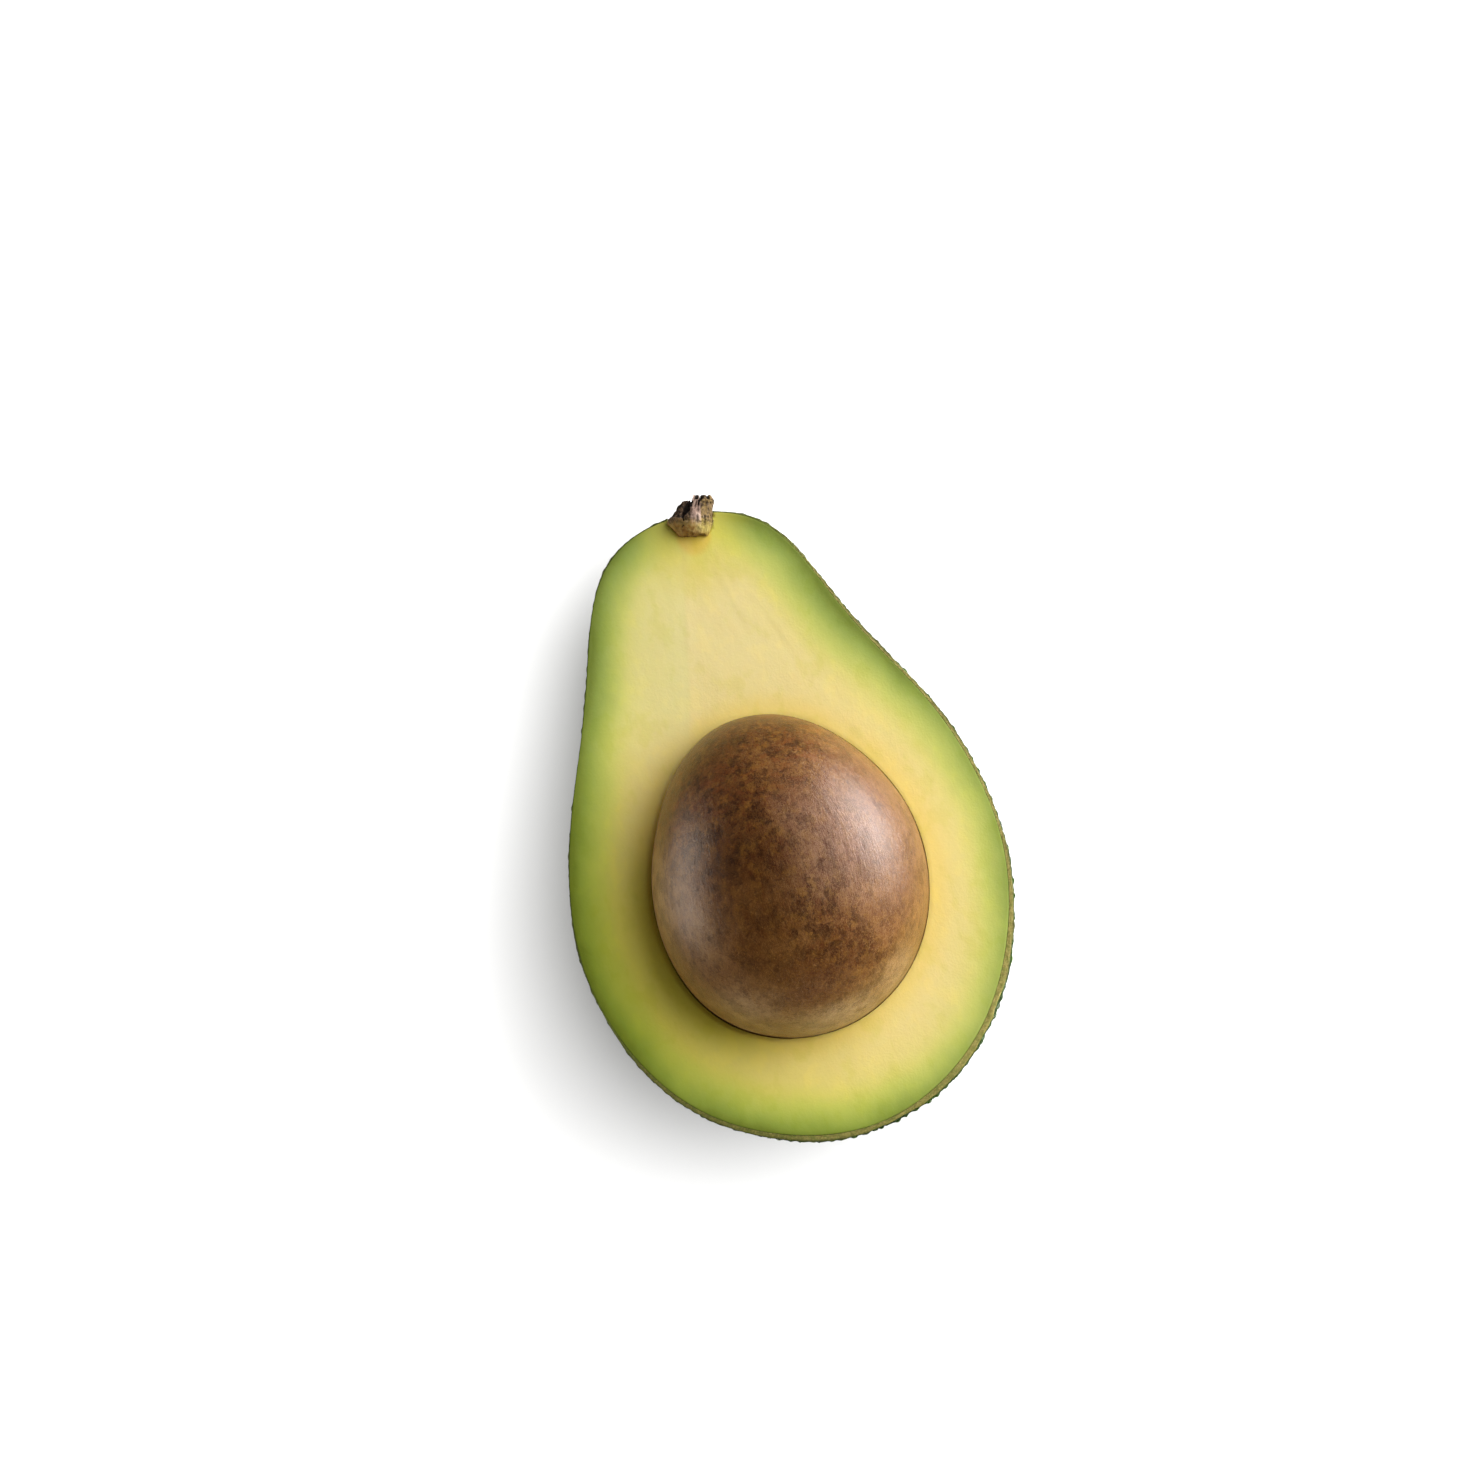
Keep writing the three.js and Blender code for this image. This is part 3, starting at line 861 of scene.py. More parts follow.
# --------------------------------------------------------------------------
# Where things are on the cut face, for its colours
# --------------------------------------------------------------------------
def distance_to_line(p, line, closed=False):
    """Distance in mm from each (n, 2) point to a polyline."""
    line = np.asarray(line, float)
    a, b = line, np.roll(line, -1, 0)
    if not closed:
        a, b = a[:-1], b[:-1]
    best = np.full(len(p), 1e9)
    d = b - a
    dd = (d * d).sum(1)
    for i in range(0, len(p), 4000):
        q = p[i:i + 4000, None] - a[None]
        t = np.clip((q * d).sum(-1) / dd, 0, 1)
        best[i:i + 4000] = np.linalg.norm(q - t[..., None] * d, axis=-1).min(1)
    return best


RIM_LINE = edge(FRUIT, np.linspace(0, 2 * PI, 361)[:-1])
PIT_LINE = seed_to_fruit(np.c_[edge(SEED, np.linspace(0, 2 * PI, 181)[:-1]), np.zeros(180)])[:, :2]
VEINS = [
    [(4.2, 49.0), (4.9, 47.0), (8.0, 39.5), (10.3, 34.1), (11.6, 29.5), (13.1, 24.3), (15.2, 18.0), (18.5, 12.0)],
    [(-0.4, 50.5), (-1.6, 46.5), (-3.9, 38.0), (-5.8, 30.5), (-7.4, 24.0), (-10.6, 17.5), (-15.0, 12.0)],
    [(2.6, 48.5), (4.4, 42.0), (5.6, 36.0), (6.2, 30.0), (7.4, 24.5)],
]


# --------------------------------------------------------------------------
# Materials
# --------------------------------------------------------------------------
def peel_material():
    m = Shader("peel")
    p = m.attr("fp", vector=True)
    cut_, rise, past = m.attr("mark"), m.attr("rise"), m.attr("past")
    broad = m.noise(m.scaled(p, 0.055), detail=3, rough=0.55)
    patch = m.noise(m.scaled(p, 0.33, (3, 1, 2)), detail=4, rough=0.6)
    fine = m.noise(m.scaled(p, 2.4, (9, 4, 7)), detail=4, rough=0.65)
    col = m.mix(m.span(broad, 0.36, 0.66), lin(31, 54, 6), lin(51, 80, 11))
    col = m.mix(m.math("MULTIPLY", m.span(patch, 0.48, 0.74), 0.60), col, lin(69, 97, 15))
    col = m.mix(m.math("MULTIPLY", m.span(patch, 0.48, 0.24), 0.65), col, lin(20, 37, 5))
    col = m.mix(m.span(rise, 0.04, 0.40, 0.0, 0.40), col, lin(74, 106, 22))
    col = m.mix(m.math("MULTIPLY", m.span(fine, 0.38, 0.75), 0.30), col, lin(26, 48, 6))
    tip = m.math("ADD", past, m.math("MULTIPLY", m.math("SUBTRACT", fine, 0.5), 0.20))
    dot = m.span(tip, 0.08, -0.12)
    col = m.mix(m.math("MULTIPLY", dot, 0.80), col, lin(166, 182, 66))
    # the cut through the peel: golden olive, granular, darker at its outer edge
    d = m.attr("rim")
    grain = m.noise(m.scaled(p, 3.2), detail=5, rough=0.75)
    speck = m.noise(m.scaled(p, 1.1, (2, 2, 7)), detail=3, rough=0.6)
    cutc = m.mix(m.span(grain, 0.34, 0.68), lin(132, 122, 54), lin(192, 176, 96))
    cutc = m.mix(m.span(speck, 0.45, 0.66, 0.0, 0.62), cutc, lin(122, 132, 50))
    cutc = m.mix(m.span(m.attr("right"), 0.15, 0.55, 0.75, 0.0), cutc, lin(112, 128, 42))
    cutc = m.mix(m.attr("low"), cutc, m.mix(1.0, cutc, (0.50, 0.56, 0.38), "MULTIPLY"))
    edge_ = m.math("ADD", d, m.math("MULTIPLY", m.math("SUBTRACT", speck, 0.5), 0.5))
    cutc = m.mix(m.span(edge_, 0.28, 0.72, 0.85, 0.0), cutc, lin(62, 68, 24))
    on_cut = m.span(cut_, 0.30, 0.75)
    inside = m.span(cut_, 1.3, 1.7)
    col = m.mix(on_cut, col, cutc)
    col = m.mix(inside, col, lin(150, 152, 62))
    rough = m.math("ADD", 0.19, m.math("MULTIPLY", fine, 0.16))
    rough = m.math("ADD", rough, m.math("MULTIPLY", dot, 0.20))
    rough = m.math("ADD", rough, m.math("MULTIPLY", on_cut, 0.38))
    pores = m.voronoi(m.scaled(p, 2.7), feature="SMOOTH_F1", random=0.9)
    h = m.math("ADD", m.math("MULTIPLY", fine, 0.5), m.math("MULTIPLY", pores, -0.45))
    h = m.math("ADD", h, m.math("MULTIPLY", on_cut, m.math("MULTIPLY", grain, 1.8)))
    b = m.bump(h, 0.00010, 0.8)
    m.principled(Base_Color=col, Roughness=rough, Normal=b, IOR=1.48, Specular_IOR_Level=0.55)
    return m.mat


def flesh_material():
    m = Shader("flesh_cut")
    p = m.attr("fp", vector=True)
    rim, pit, vein, left, stem = m.attr("rim"), m.attr("pit"), m.attr("vein"), m.attr("left"), m.attr("stem")
    yellowing_and_shade_tint = m.attr("yellowing_and_shade_tint")
    wide = m.noise(m.scaled(p, (0.10, 0.07, 0.10)), detail=2, rough=0.5)
    cloud = m.noise(m.scaled(p, (0.42, 0.26, 0.42), (5, 2, 8)), detail=4, rough=0.55)
    speck = m.noise(m.scaled(p, 2.6, (1, 8, 3)), detail=3, rough=0.6)
    d = m.math("ADD", rim, m.math("MULTIPLY", m.math("SUBTRACT", wide, 0.5), 2.4))
    d = m.math("ADD", d, m.math("MULTIPLY", m.math("SUBTRACT", cloud, 0.5), 0.9))
    d = m.math("SUBTRACT", d, m.attr("green"))
    stops = [(0.0, (122, 136, 57)), (1.2, (146, 162, 77)), (2.4, (168, 181, 91)), (3.7, (189, 197, 102)),
             (5.2, (208, 209, 113)), (7.0, (226, 216, 127)), (9.0, (235, 218, 139)), (12.0, (239, 218, 143)),
             (16.0, (240, 219, 149))]
    col = m.ramp(m.math("DIVIDE", d, 16.0), [(k / 16, lin(*c)) for k, c in stops])
    col = m.mix(m.math("MULTIPLY", m.span(pit, 5.0, 0.3), 0.50), col, lin(238, 208, 96))
    pale = m.math("MULTIPLY", m.span(rim, 8.0, 15.0), m.span(pit, 2.0, 11.0))
    col = m.mix(m.math("MULTIPLY", pale, 0.62), col, lin(241, 223, 158))
    col = m.mix(m.math("MULTIPLY", m.math("MULTIPLY", left, m.span(rim, 4.0, 10.0)), 0.50), col, lin(230, 224, 150))
    # yellower flesh to the lower left: towards the bottom its own colour, on the left partly the tint of the seed's
    # shadow, painted in
    col = m.mix(yellowing_and_shade_tint, col, m.mix(1.0, col, (0.98, 0.98, 0.50), "MULTIPLY"))
    # painted light: a lighter pool of flesh on the upper left, which lifts the seed's shadow there
    col = m.mix(m.attr("lift"), col, m.mix(1.0, col, (1.13, 1.11, 1.04), "MULTIPLY"))
    # painted shade: the flesh turns darker and yellower beside the seed on its left and lower left, where the seed's
    # shadow falls
    near_pit = m.math("MULTIPLY", m.span(pit, 7.5, 0.5), m.attr("painted_pit_shade"))
    col = m.mix(near_pit, col, m.mix(1.0, col, (0.70, 0.78, 0.52), "MULTIPLY"))
    col = m.mix(m.math("MULTIPLY", m.span(stem, 9.5, 0.6), 0.72), col, lin(226, 212, 98))
    col = m.mix(m.math("MULTIPLY", m.span(stem, 1.5, 0.3), 0.60), col, lin(232, 190, 82))
    line = m.math("ADD", vein, m.math("MULTIPLY", m.math("SUBTRACT", cloud, 0.5), 1.0))
    seen = m.span(wide, 0.36, 0.60, 0.12, 1.0)
    col = m.mix(m.math("MULTIPLY", m.span(line, 0.85, 0.0), m.math("MULTIPLY", seen, 0.24)), col, lin(208, 186, 110))
    col = m.mix(m.math("MULTIPLY", m.span(line, 2.6, 0.4), 0.12), col, lin(246, 230, 172))
    streak = m.noise(m.scaled(p, (0.5, 0.06, 0.5), (2, 2, 2)), detail=2, rough=0.4)
    col = m.mix(m.math("MULTIPLY", m.span(streak, 0.45, 0.70, 0.0, 0.09), pale), col, lin(250, 236, 176))
    col = m.mix(m.span(speck, 0.58, 0.80, 0.0, 0.10), col, lin(212, 200, 100))
    mottle = m.noise(m.scaled(p, (0.21, 0.14, 0.21), (3, 7, 5)), detail=3.5, rough=0.6)
    col = m.mix(m.span(mottle, 0.52, 0.64), col, m.mix(1.0, col, (0.955, 0.965, 0.86), "MULTIPLY"))
    col = m.mix(m.span(mottle, 0.46, 0.35), col, m.mix(1.0, col, (1.035, 1.03, 0.97), "MULTIPLY"))
    hidden = m.span(m.attr("mark"), 0.75, 0.45)
    col = m.mix(m.math("MULTIPLY", hidden, m.span(pit, 0.9, 0.2)), col, lin(206, 178, 76))
    socket = m.span(m.attr("mark"), 1.3, 1.7)
    col = m.mix(socket, col, lin(196, 158, 62))
    rough = m.math("ADD", 0.40, m.math("MULTIPLY", m.math("ADD", cloud, speck), 0.10))
    h = m.math("ADD", m.math("MULTIPLY", speck, 0.40), m.math("MULTIPLY", cloud, 0.9))
    b = m.bump(h, 0.00008, 0.7)
    m.principled(Base_Color=col, Roughness=rough, Normal=b, IOR=1.38, Specular_IOR_Level=0.32,
                 Subsurface_Weight=0.22, Subsurface_Radius=(1.0, 0.75, 0.25), Subsurface_Scale=0.0011)
    return m.mat


def seed_tones(p):
    """Where the seed coat is dark, pale, pinkish or mottled, by the place on the seed (mm). The pale spots on its left
    edge are partly painted sheen.
    """
    w = np.stack([fbm(p, 7.0, 3, 81), fbm(p, 7.0, 3, 82), fbm(p, 7.0, 3, 83)], -1)
    x, y = (p + 3.2 * w)[:, 0], (p + 3.2 * w)[:, 1]

    def spot(cx, cy, rx, ry, lean=0.0):
        a, b = (x - cx) * math.cos(lean) + (y - cy) * math.sin(lean), (y - cy) * math.cos(lean) - (x - cx) * math.sin(lean)
        return np.exp(-((a / rx) ** 2 + (b / ry) ** 2))

    core = np.maximum.reduce([spot(-3.5, 12.0, 9.0, 8.0), 1.1 * spot(-4.5, 3.0, 6.5, 7.0), spot(0.0, 22.5, 11.0, 5.0),
                              0.75 * spot(-3.0, -9.0, 7.0, 5.0, 0.5), 0.85 * spot(5.0, -14.5, 6.0, 4.0, 0.3)])
    # pale coat at the bottom and lower left; the spots on the left edge, at x -20 and -15, are partly painted sheen
    # where the left strip's reflection lies
    pale = np.maximum.reduce([spot(3.0, -24.5, 10.0, 3.4), 0.9 * spot(-11.0, -19.5, 7.0, 4.5, -0.6), spot(-20.0, 1.0, 4.2, 10.0),
                              0.8 * spot(14.0, -20.5, 5.5, 3.0, 0.7), 0.55 * spot(-15.0, -8.0, 4.0, 6.0)])
    pink = np.maximum.reduce([spot(14.0, 3.0, 11.0, 14.0), 0.8 * spot(4.5, 7.0, 4.5, 5.0), 0.55 * spot(-15.0, -4.0, 6.0, 12.0)])
    mottle = 0.34 + 0.66 * np.maximum.reduce([spot(-5.0, 9.0, 12.0, 13.0), 0.9 * spot(6.0, -9.0, 6.0, 10.0, 0.2), 0.8 * spot(2, 20, 12, 6)])
    return {"core": core, "pale": pale, "pink": pink, "mottle": np.clip(mottle, 0, 1)}


def seed_material():
    m = Shader("seed_coat")
    p = m.attr("sp", vector=True)                  # mm from the seed's middle, along its own axes
    core, pale, pink, mottle = m.attr("core"), m.attr("pale"), m.attr("pink"), m.attr("mottle")

    def warped(scale, seed, amount):
        n = m.node("ShaderNodeTexNoise")
        m.put(n.inputs["Vector"], m.scaled(p, scale, seed))
        n.inputs["Detail"].default_value = 3.0
        n.inputs["Roughness"].default_value = 0.6
        off = m.node("ShaderNodeVectorMath", operation="MULTIPLY_ADD")
        m.put(off.inputs[0], n.outputs["Color"])
        off.inputs[1].default_value = (amount, amount, amount)
        m.put(off.inputs[2], p)
        return off.outputs[0]

    w = warped(0.50, (4, 4, 4), 3.6)
    patches = m.noise(m.scaled(w, (0.34, 0.28, 0.34), (1, 2, 3)), detail=1.6, rough=0.5)
    patches2 = m.noise(m.scaled(w, (0.95, 0.62, 0.95), (21, 5, 9)), detail=3, rough=0.6)
    ochre = m.noise(m.scaled(w, (0.42, 0.36, 0.42), (12, 3, 8)), detail=2, rough=0.5)
    w2 = warped(0.22, (9, 2, 6), 7.0)
    thread = m.math("ABSOLUTE", m.math("SUBTRACT", m.noise(m.scaled(w2, (0.95, 0.22, 0.95), (3, 8, 2)), detail=3, rough=0.62), 0.5))
    thread2 = m.math("ABSOLUTE", m.math("SUBTRACT", m.noise(m.scaled(w2, (1.30, 0.34, 1.30), (13, 4, 7)), detail=3, rough=0.62), 0.5))
    cloud = m.noise(m.scaled(p, (0.16, 0.13, 0.16), (7, 1, 5)), detail=4, rough=0.6)
    small = m.noise(m.scaled(p, (1.25, 0.95, 1.25), (2, 9, 4)), detail=4, rough=0.7)
    fibre = m.noise(m.scaled(p, (2.6, 0.34, 2.6)), detail=4, rough=0.7)
    hair = m.noise(m.scaled(p, (6.0, 0.8, 6.0), (3, 3, 1)), detail=3, rough=0.7)
    col = m.ramp(cloud, [(0.36, lin(90, 55, 23)), (0.50, lin(108, 71, 36)), (0.64, lin(122, 85, 50))])
    col = m.mix(m.math("MULTIPLY", pink, 0.85), col, lin(130, 96, 78))
    # paler coat, on the left edge partly a painted sheen
    col = m.mix(m.math("MULTIPLY", pale, 0.90), col, lin(164, 134, 92))
    col = m.mix(m.math("MULTIPLY", core, 0.84), col, lin(74, 40, 9))
    # ochre and dark red-brown mottles
    col = m.mix(m.math("MULTIPLY", m.span(ochre, 0.52, 0.66), m.math("MULTIPLY", mottle, 0.65)), col, lin(112, 76, 22))
    col = m.mix(m.math("MULTIPLY", m.span(patches2, 0.49, 0.34), m.math("MULTIPLY", mottle, 0.45)), col, lin(124, 86, 48))
    col = m.mix(m.math("MULTIPLY", m.span(patches2, 0.50, 0.61), m.math("MULTIPLY", mottle, 0.80)), col, lin(76, 30, 5))
    col = m.mix(m.math("MULTIPLY", m.span(patches, 0.49, 0.61), m.math("MULTIPLY", mottle, 0.80)), col, lin(44, 18, 2))
    # fine grain along the seed
    col = m.mix(m.span(small, 0.47, 0.33, 0.0, 0.34), col, lin(48, 22, 5))
    col = m.mix(m.span(small, 0.56, 0.68, 0.0, 0.24), col, lin(142, 102, 62))
    col = m.mix(m.math("MULTIPLY", m.span(fibre, 0.50, 0.34), m.math("MULTIPLY", pink, 0.55)), col, lin(98, 54, 34))
    col = m.mix(m.span(fibre, 0.55, 0.74, 0.0, 0.22), col, lin(156, 118, 80))
    col = m.mix(m.span(fibre, 0.45, 0.28, 0.0, 0.30), col, lin(54, 27, 7))
    col = m.mix(m.span(hair, 0.56, 0.76, 0.0, 0.14), col, lin(160, 124, 90))
    # thin winding threads of the seed coat, some paler and some darker
    col = m.mix(m.span(thread, 0.022, 0.0, 0.0, 0.42), col, lin(168, 130, 96))
    col = m.mix(m.span(thread2, 0.020, 0.0, 0.0, 0.50), col, lin(52, 24, 7))
    # crisp flecks, dark ones and ochre ones, and reddish strands across the upper end
    w3 = warped(0.34, (2, 7, 5), 1.9)
    grit = m.noise(m.scaled(w3, (0.92, 0.66, 0.92), (17, 4, 2)), detail=2.2, rough=0.5)
    grit2 = m.noise(m.scaled(w3, (0.72, 0.50, 0.72), (6, 14, 3)), detail=2.5, rough=0.5)
    red = m.noise(m.scaled(w3, (0.34, 1.10, 0.34), (2, 4, 11)), detail=3, rough=0.6)
    sep = m.node("ShaderNodeSeparateXYZ")
    m.put(sep.inputs[0], p)
    upper = m.math("MULTIPLY", m.span(sep.outputs[1], 6.0, 13.0), m.math("SUBTRACT", 1.0, pink, clamp=True))
    flecks = m.math("MAXIMUM", m.math("MULTIPLY", mottle, 0.95), 0.30)
    col = m.mix(m.math("MULTIPLY", m.span(red, 0.49, 0.60), m.math("MULTIPLY", upper, 0.38)), col, lin(124, 68, 30))
    col = m.mix(m.math("MULTIPLY", m.span(grit2, 0.53, 0.64), m.math("MULTIPLY", flecks, 0.40)), col, lin(142, 104, 50))
    col = m.mix(m.math("MULTIPLY", m.span(grit, 0.53, 0.62), m.math("MULTIPLY", flecks, 0.68)), col, lin(42, 18, 4))
    streaks = m.noise(m.scaled(w2, (1.9, 0.22, 1.9), (5, 5, 9)), detail=4, rough=0.65)
    col = m.mix(m.span(streaks, 0.49, 0.33, 0.0, 0.60), col, m.mix(1.0, col, (0.66, 0.50, 0.40), "MULTIPLY"))
    col = m.mix(m.span(streaks, 0.53, 0.70, 0.0, 0.26), col, lin(176, 140, 112))
    # the darker coat is the warmer one
    coat = m.math("SUBTRACT", 1.0, m.math("MAXIMUM", pink, pale), clamp=True)
    col = m.mix(coat, col, m.mix(1.0, col, (0.96, 0.90, 0.56), "MULTIPLY"))
    col = m.mix(m.math("MULTIPLY", core, 0.60), col, m.mix(1.0, col, (0.78, 0.68, 0.55), "MULTIPLY"))
    rough = m.math("ADD", 0.22, m.math("MULTIPLY", small, 0.10))
    rough = m.math("ADD", rough, m.math("MULTIPLY", fibre, 0.08))
    h = m.math("ADD", m.math("MULTIPLY", fibre, 1.0), m.math("MULTIPLY", hair, 0.35))
    h = m.math("ADD", h, m.math("MULTIPLY", small, 0.7))
    h = m.math("ADD", h, m.math("MULTIPLY", patches, 0.4))
    h = m.math("ADD", h, m.math("MULTIPLY", streaks, 0.35))
    b = m.bump(h, 0.00010, 0.55)
    m.principled(Base_Color=col, Roughness=rough, Normal=b, IOR=1.48, Specular_IOR_Level=0.50)
    return m.mat


def stub_material():
    m = Shader("stem_wood")
    p, deep = m.attr("place", vector=True), m.attr("deep")
    sep = m.node("ShaderNodeSeparateXYZ")
    m.put(sep.inputs[0], p)
    y = sep.outputs[1]
    x = m.math("ADD", sep.outputs[0], m.math("MULTIPLY", m.math("SUBTRACT", y, 5.0), 0.10))
    strand = m.noise(m.scaled(p, (0.80, 0.16, 0.80), (1, 5, 2)), detail=3, rough=0.5)
    fibre = m.noise(m.scaled(p, (3.6, 0.50, 3.6)), detail=5, rough=0.7)
    lump = m.noise(m.scaled(p, 1.1, (4, 4, 1)), detail=4, rough=0.6)
    blot = m.noise(m.scaled(p, 1.7, (8, 1, 6)), detail=4, rough=0.65)
    # olive-brown on the right, a mauve-grey strand in the middle, dark bark on the left
    col = m.mix(m.span(blot, 0.40, 0.60), lin(58, 44, 24), lin(114, 92, 54))
    strip = m.math("MULTIPLY", m.span(x, -0.62, -0.35), m.span(x, 1.35, 1.05))
    col = m.mix(strip, col, m.mix(m.span(strand, 0.38, 0.62), lin(122, 98, 86), lin(162, 138, 124)))
    bark = m.mix(m.span(blot, 0.44, 0.66), lin(30, 20, 12), lin(98, 76, 56))
    col = m.mix(m.span(x, -0.35, -0.75), col, bark)
    col = m.mix(m.span(fibre, 0.52, 0.74, 0.0, 0.45), col, lin(178, 154, 132))
    col = m.mix(m.span(fibre, 0.48, 0.30, 0.0, 0.60), col, lin(40, 26, 16))
    # the foot, stained ochre and green by the flesh
    foot = m.span(m.math("ADD", y, m.math("MULTIPLY", m.math("SUBTRACT", lump, 0.5), 2.6)), 3.3, 1.5)
    footc = m.mix(m.span(lump, 0.36, 0.62), lin(142, 104, 46), lin(172, 146, 84))
    footc = m.mix(m.math("MULTIPLY", m.span(x, -0.2, 1.0), 0.70), footc, lin(148, 138, 72))
    footc = m.mix(m.span(blot, 0.46, 0.32, 0.0, 0.60), footc, lin(92, 64, 26))
    footc = m.mix(m.span(y, 1.2, 0.5, 0.0, 0.45), footc, lin(132, 88, 20))
    col = m.mix(m.math("MULTIPLY", foot, 0.88), col, footc)
    # painted shade: the wood turns near black deep in the splits and under ledges
    col = m.mix(m.span(m.math("ADD", deep, m.math("MULTIPLY", fibre, 0.2)), 0.24, 0.70, 0.0, 0.97), col, lin(16, 9, 6))
    rough = m.math("ADD", 0.66, m.math("MULTIPLY", fibre, 0.2))
    h = m.math("ADD", m.math("MULTIPLY", fibre, 1.2), m.math("MULTIPLY", lump, 0.5))
    b = m.bump(h, 0.00014, 0.8)
    m.principled(Base_Color=col, Roughness=rough, Normal=b, IOR=1.45, Specular_IOR_Level=0.25)
    return m.mat


def floor_material():
    m = Shader("floor")
    g = m.node("ShaderNodeNewGeometry")
    n = m.noise(m.scaled(g.outputs["Position"], 9.0), detail=3, rough=0.5)
    col = m.mix(m.span(n, 0.3, 0.7), (0.50, 0.50, 0.498), (0.51, 0.51, 0.51))
    m.principled(Base_Color=col, Roughness=0.85, Specular_IOR_Level=0.15)
    return m.mat


def backdrop_material():
    m = Shader("backdrop")
    glow = m.node("ShaderNodeEmission")
    glow.inputs["Color"].default_value = (1.0, 1.0, 1.0, 1.0)
    glow.inputs["Strength"].default_value = 1.0
    m.put(m.out.inputs["Surface"], glow.outputs[0])
    m.mat.cycles.emission_sampling = "NONE"
    return m.mat


# ==== ASSEMBLY ====
# --------------------------------------------------------------------------
# The pieces
# --------------------------------------------------------------------------
peel, flesh, seed, stub = build_skin(), build_flesh(), build_seed(), build_stub()
for ob, spot in ((peel, (0.86, 0.90, 0.055)), (flesh, (0.86, 0.455, 0.04))):
    tool = build_socket(spot)
    cut(ob, tool)
    drop(tool)

p = points_of(peel)
mark = get_attr(peel, "mark")
rise, past = np.zeros(len(p)), np.full(len(p), 3.0)
outside = mark < 0.5
rise[outside], past[outside] = warts(p[outside])
set_attr(peel, "fp", p)
set_attr(peel, "rise", rise)
set_attr(peel, "past", past)
set_attr(peel, "rim", distance_to_line(p[:, :2], RIM_LINE, True))
set_attr(peel, "low", np.maximum(0.62 * smooth(-34, -46, p[:, 1]) * (1 - 0.6 * smooth(0, 22, p[:, 0])),
                               smooth(-16, -34, p[:, 1]) * smooth(2, -14, p[:, 0])))
set_attr(peel, "right", smooth(-30, 22, p[:, 0] - 0.35 * (p[:, 1] + 30) + 42 * smooth(-16, -38, p[:, 1])))

p = points_of(flesh)
set_attr(flesh, "fp", p)
set_attr(flesh, "rim", np.hypot(distance_to_line(p[:, :2], RIM_LINE, True), 0 * p[:, 2]))
set_attr(flesh, "pit", distance_to_line(p[:, :2], PIT_LINE, True))
set_attr(flesh, "vein", np.minimum.reduce([distance_to_line(p[:, :2], v) for v in VEINS]))
line_u = np.interp(p[:, 1], [18, 26.4, 40, 52], [-9.4, -6.6, -3.2, -0.5])
set_attr(flesh, "left", (1 - smooth(-0.5, 0.5, p[:, 0] - line_u)) * smooth(14, 28, p[:, 1]))
side = (p[:, :2] - np.array([2.0, -2.0])) @ np.array([-0.84, -0.54])
# where the painted light on the upper left of the flesh lies
set_attr(flesh, "lift", np.exp(-(((p[:, 0] + 22) / 11) ** 2 + ((p[:, 1] - 19) / 13) ** 2)))
# yellower flesh to the lower left, reduced at the bottom: partly own colour, partly painted shadow tint
set_attr(flesh, "yellowing_and_shade_tint", smooth(2, 34, side) * (1 - 0.45 * smooth(-22, -42, p[:, 1])))
set_attr(flesh, "green", 1.0 * (1 - smooth(-22, 4, p[:, 0])) + smooth(0, 14, p[:, 0]) * (1.9 * smooth(4, 34, p[:, 1]) - 0.45)
         + 0.7 * smooth(-37, -48, p[:, 1]))
set_attr(flesh, "stem", np.linalg.norm((p - np.array([1.75, 52.6, 0])) * (1, 0.80, 1), axis=1) - 1.9)
# where the painted shade beside the seed lies: to its left and lower left
away = p[:, :2] - np.array(SEED_CENTRE)
away /= np.maximum(np.linalg.norm(away, axis=1), 1e-6)[:, None]
set_attr(flesh, "painted_pit_shade", smooth(0.50, 0.94, away @ np.array([-0.95, -0.31])))

q = points_of(seed)
c, s = math.cos(SEED_LEAN), math.sin(SEED_LEAN)
x, y = q[:, 0] - SEED_CENTRE[0], q[:, 1] - SEED_CENTRE[1]
sp = np.c_[x * c - y * s, x * s + y * c, q[:, 2]]
set_attr(seed, "sp", sp)
for name, tone in seed_tones(sp).items():
    set_attr(seed, name, tone)

for ob, mat, node, slot in ((peel, peel_material(), "skin", "skin"), (flesh, flesh_material(), "flesh", "flesh"),
                            (seed, seed_material(), "seed", "seed"), (stub, stub_material(), "stem_stub", "stem")):
    ob.data.materials.clear()
    ob.data.materials.append(mat)
    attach(ob, "root")
    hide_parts(node)

# --------------------------------------------------------------------------
# Floor and light
# --------------------------------------------------------------------------
size = 6.0
mesh = bpy.data.meshes.new("floor")
mesh.from_pydata([(-size, -size, 0), (size, -size, 0), (size, size, 0), (-size, size, 0)], [], [(0, 1, 2, 3)])
floor = bpy.data.objects.new("floor", mesh)
bpy.context.scene.collection.objects.link(floor)
mesh.materials.append(floor_material())
floor.visible_glossy = False
floor.visible_shadow = False

# a pale dome far behind the floor: it is only seen, and lights nothing
ring = np.linspace(0, 2 * PI, 65)[:-1]
dome = [(5.6 * math.cos(e) * math.cos(r), 5.6 * math.cos(e) * math.sin(r), 5.6 * math.sin(e) - 0.05)
        for e in np.linspace(-0.02, 0.47 * PI, 14) for r in ring]
sides = [(64 * i + j, 64 * i + (j + 1) % 64, 64 * i + 64 + (j + 1) % 64, 64 * i + 64 + j) for i in range(13) for j in range(64)]
mesh = bpy.data.meshes.new("backdrop")
mesh.from_pydata(dome, [], sides + [tuple(range(64 * 13, 64 * 14))])
backdrop = bpy.data.objects.new("backdrop", mesh)
bpy.context.scene.collection.objects.link(backdrop)
mesh.materials.append(backdrop_material())
backdrop.visible_diffuse = backdrop.visible_glossy = backdrop.visible_transmission = backdrop.visible_shadow = False

TARGET = np.array([0.0, 0.0, 0.03])


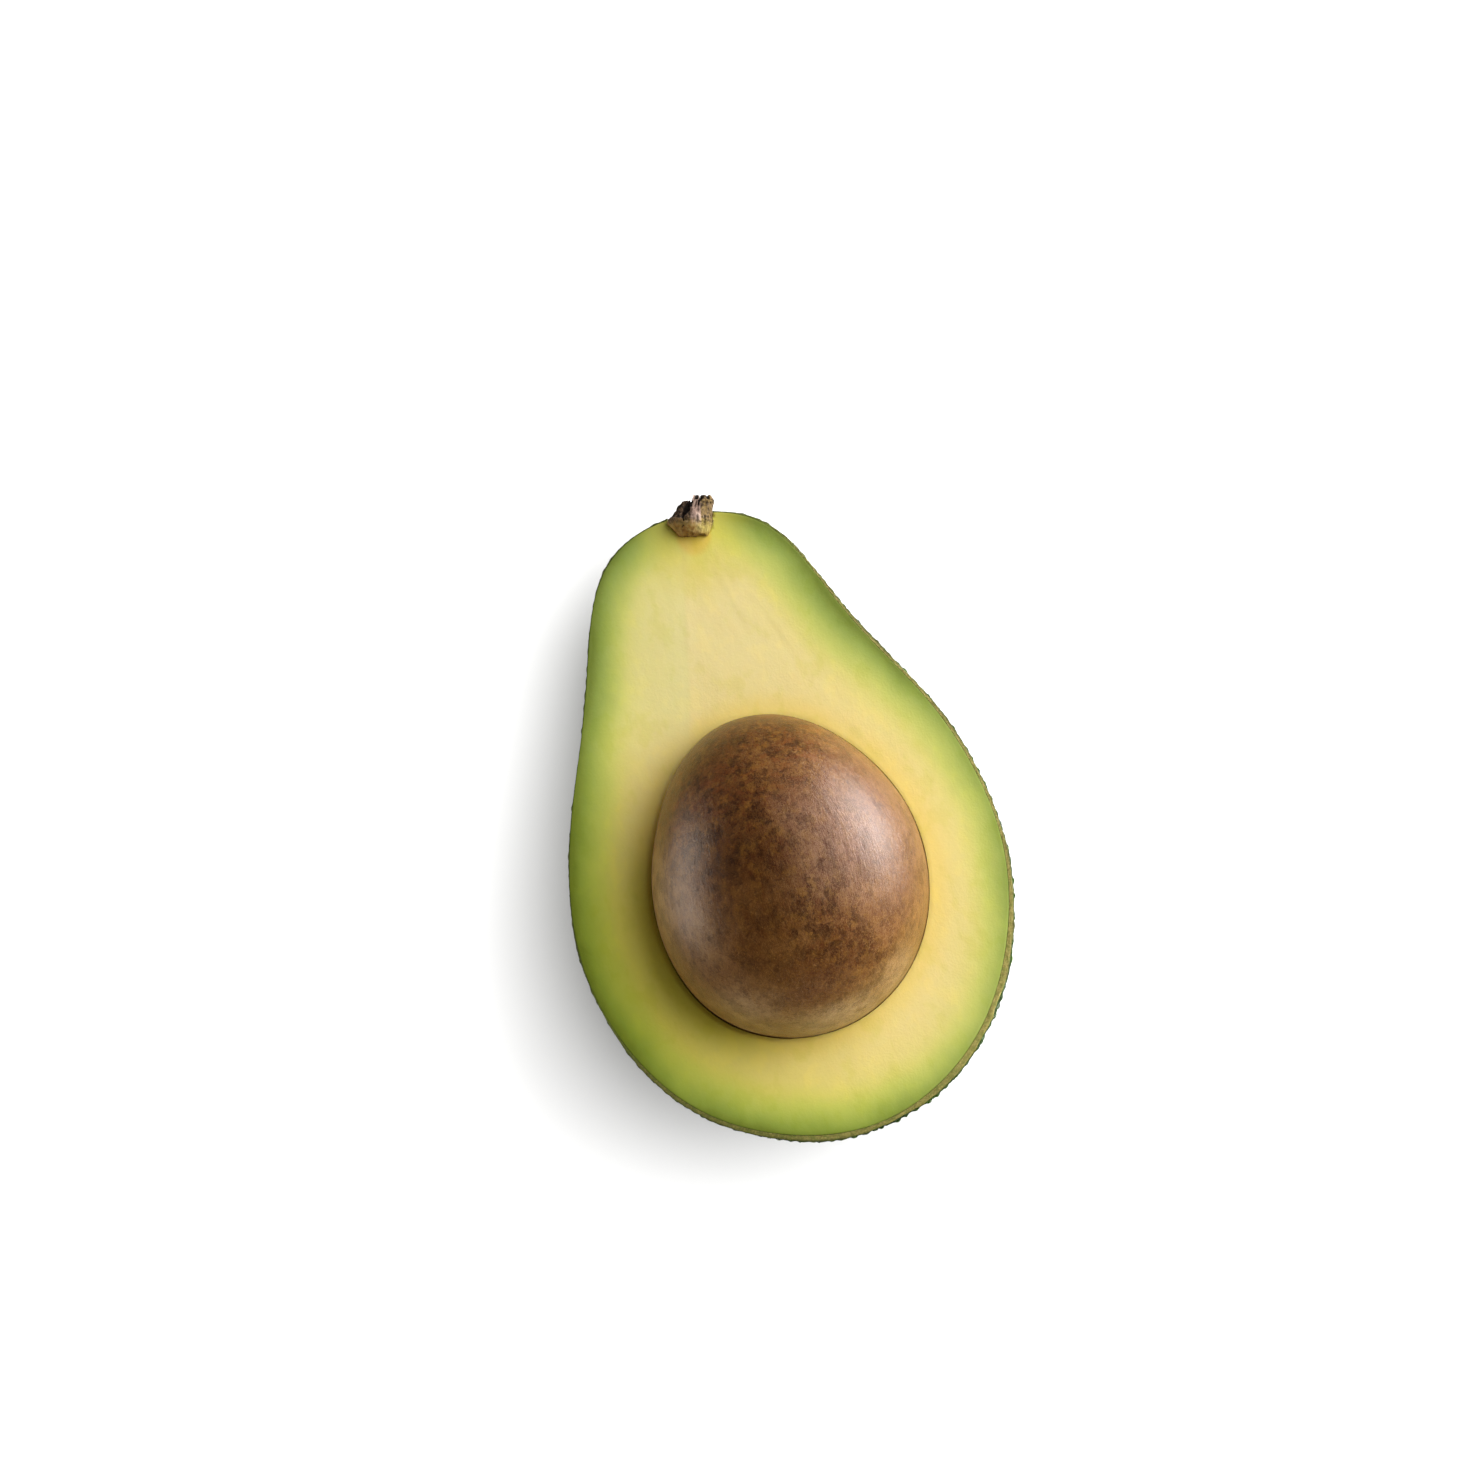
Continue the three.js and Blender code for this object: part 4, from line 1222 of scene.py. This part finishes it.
def area_light(name, right, up, toward, distance, size, watts, colour=(1, 1, 1)):
    """A soft panel, (across, along the fruit) in size, placed by its direction along the camera's axes."""
    d = right * CAM_X + up * CAM_Y + toward * CAM_Z
    d /= np.linalg.norm(d)
    data = bpy.data.lights.new(name, "AREA")
    data.shape, data.size, data.size_y, data.energy, data.color = "RECTANGLE", size[0], size[1], watts, colour
    ob = bpy.data.objects.new(name, data)
    x = np.cross(CAM_Y if abs(d @ CAM_Y) < 0.8 else CAM_Z, d)
    x /= np.linalg.norm(x)
    m = Matrix.Identity(4)
    for i in range(3):
        m[i][0], m[i][1], m[i][2], m[i][3] = x[i], np.cross(d, x)[i], d[i], (TARGET + d * distance)[i]
    ob.matrix_world = m
    bpy.context.scene.collection.objects.link(ob)
    ob.visible_camera = False
    return ob


# two low windows give the seed its reflections on the right, a strip the one on its left
area_light("window", 0.77, 0.62, 0.03, 0.60, (0.22, 0.40), 3.4)
area_light("window_low", 0.94, 0.31, 0.05, 0.60, (0.18, 0.34), 1.8)
area_light("left_strip", -0.98, -0.02, -0.08, 0.35, (0.09, 0.30), 0.66, (1.0, 0.87, 0.74))
# four cards below the level of the cut face, which only the side of the peel reflects
only_peel = bpy.data.collections.new("lit_by_cards")
only_peel.objects.link(peel)
for k, turn in enumerate((65, 155, 245, 335)):
    card = area_light("card_%d" % k, math.cos(math.radians(turn)), math.sin(math.radians(turn)), -0.38, 0.50, (0.24, 0.22), 1.0)
    card.visible_diffuse = False
    card.light_linking.receiver_collection = only_peel
# the soft daylight itself, from the upper right, without a reflection of its own
for soft in (area_light("key", 0.72, 0.58, 0.60, 0.62, (0.80, 0.80), 5.6),
             area_light("key_right", 0.90, 0.30, 0.50, 0.62, (0.60, 0.60), 2.1),
             area_light("overhead", 0.45, 0.40, 0.80, 1.00, (0.80, 0.80), 1.4),
             area_light("front_right", 0.60, -0.60, 0.50, 0.80, (0.50, 0.50), 0.9),
             area_light("front", 0.35, -0.93, 0.22, 0.70, (0.60, 0.30), 2.5)):
    soft.visible_glossy = False
# an overhead light for the floor alone, so that its shadows stay pale
sun = bpy.data.lights.new("floor_wash", "SUN")
sun.energy, sun.angle = 7.1, 0.95
wash = bpy.data.objects.new("floor_wash", sun)
wash.rotation_euler = (math.radians(-12), math.radians(22), 0)
bpy.context.scene.collection.objects.link(wash)
only_floor = bpy.data.collections.new("lit_by_floor_wash")
only_floor.objects.link(floor)
wash.light_linking.receiver_collection = only_floor
world = bpy.data.worlds.new("studio")
world.use_nodes = True
back = world.node_tree.nodes["Background"]
back.inputs["Color"].default_value = (1.0, 1.0, 0.97, 1.0)
back.inputs["Strength"].default_value = 0.045
bpy.context.scene.world = world
bpy.context.scene.view_settings.view_transform = "Standard"
bpy.context.scene.view_settings.look = "None"

bpy.context.view_layer.update()
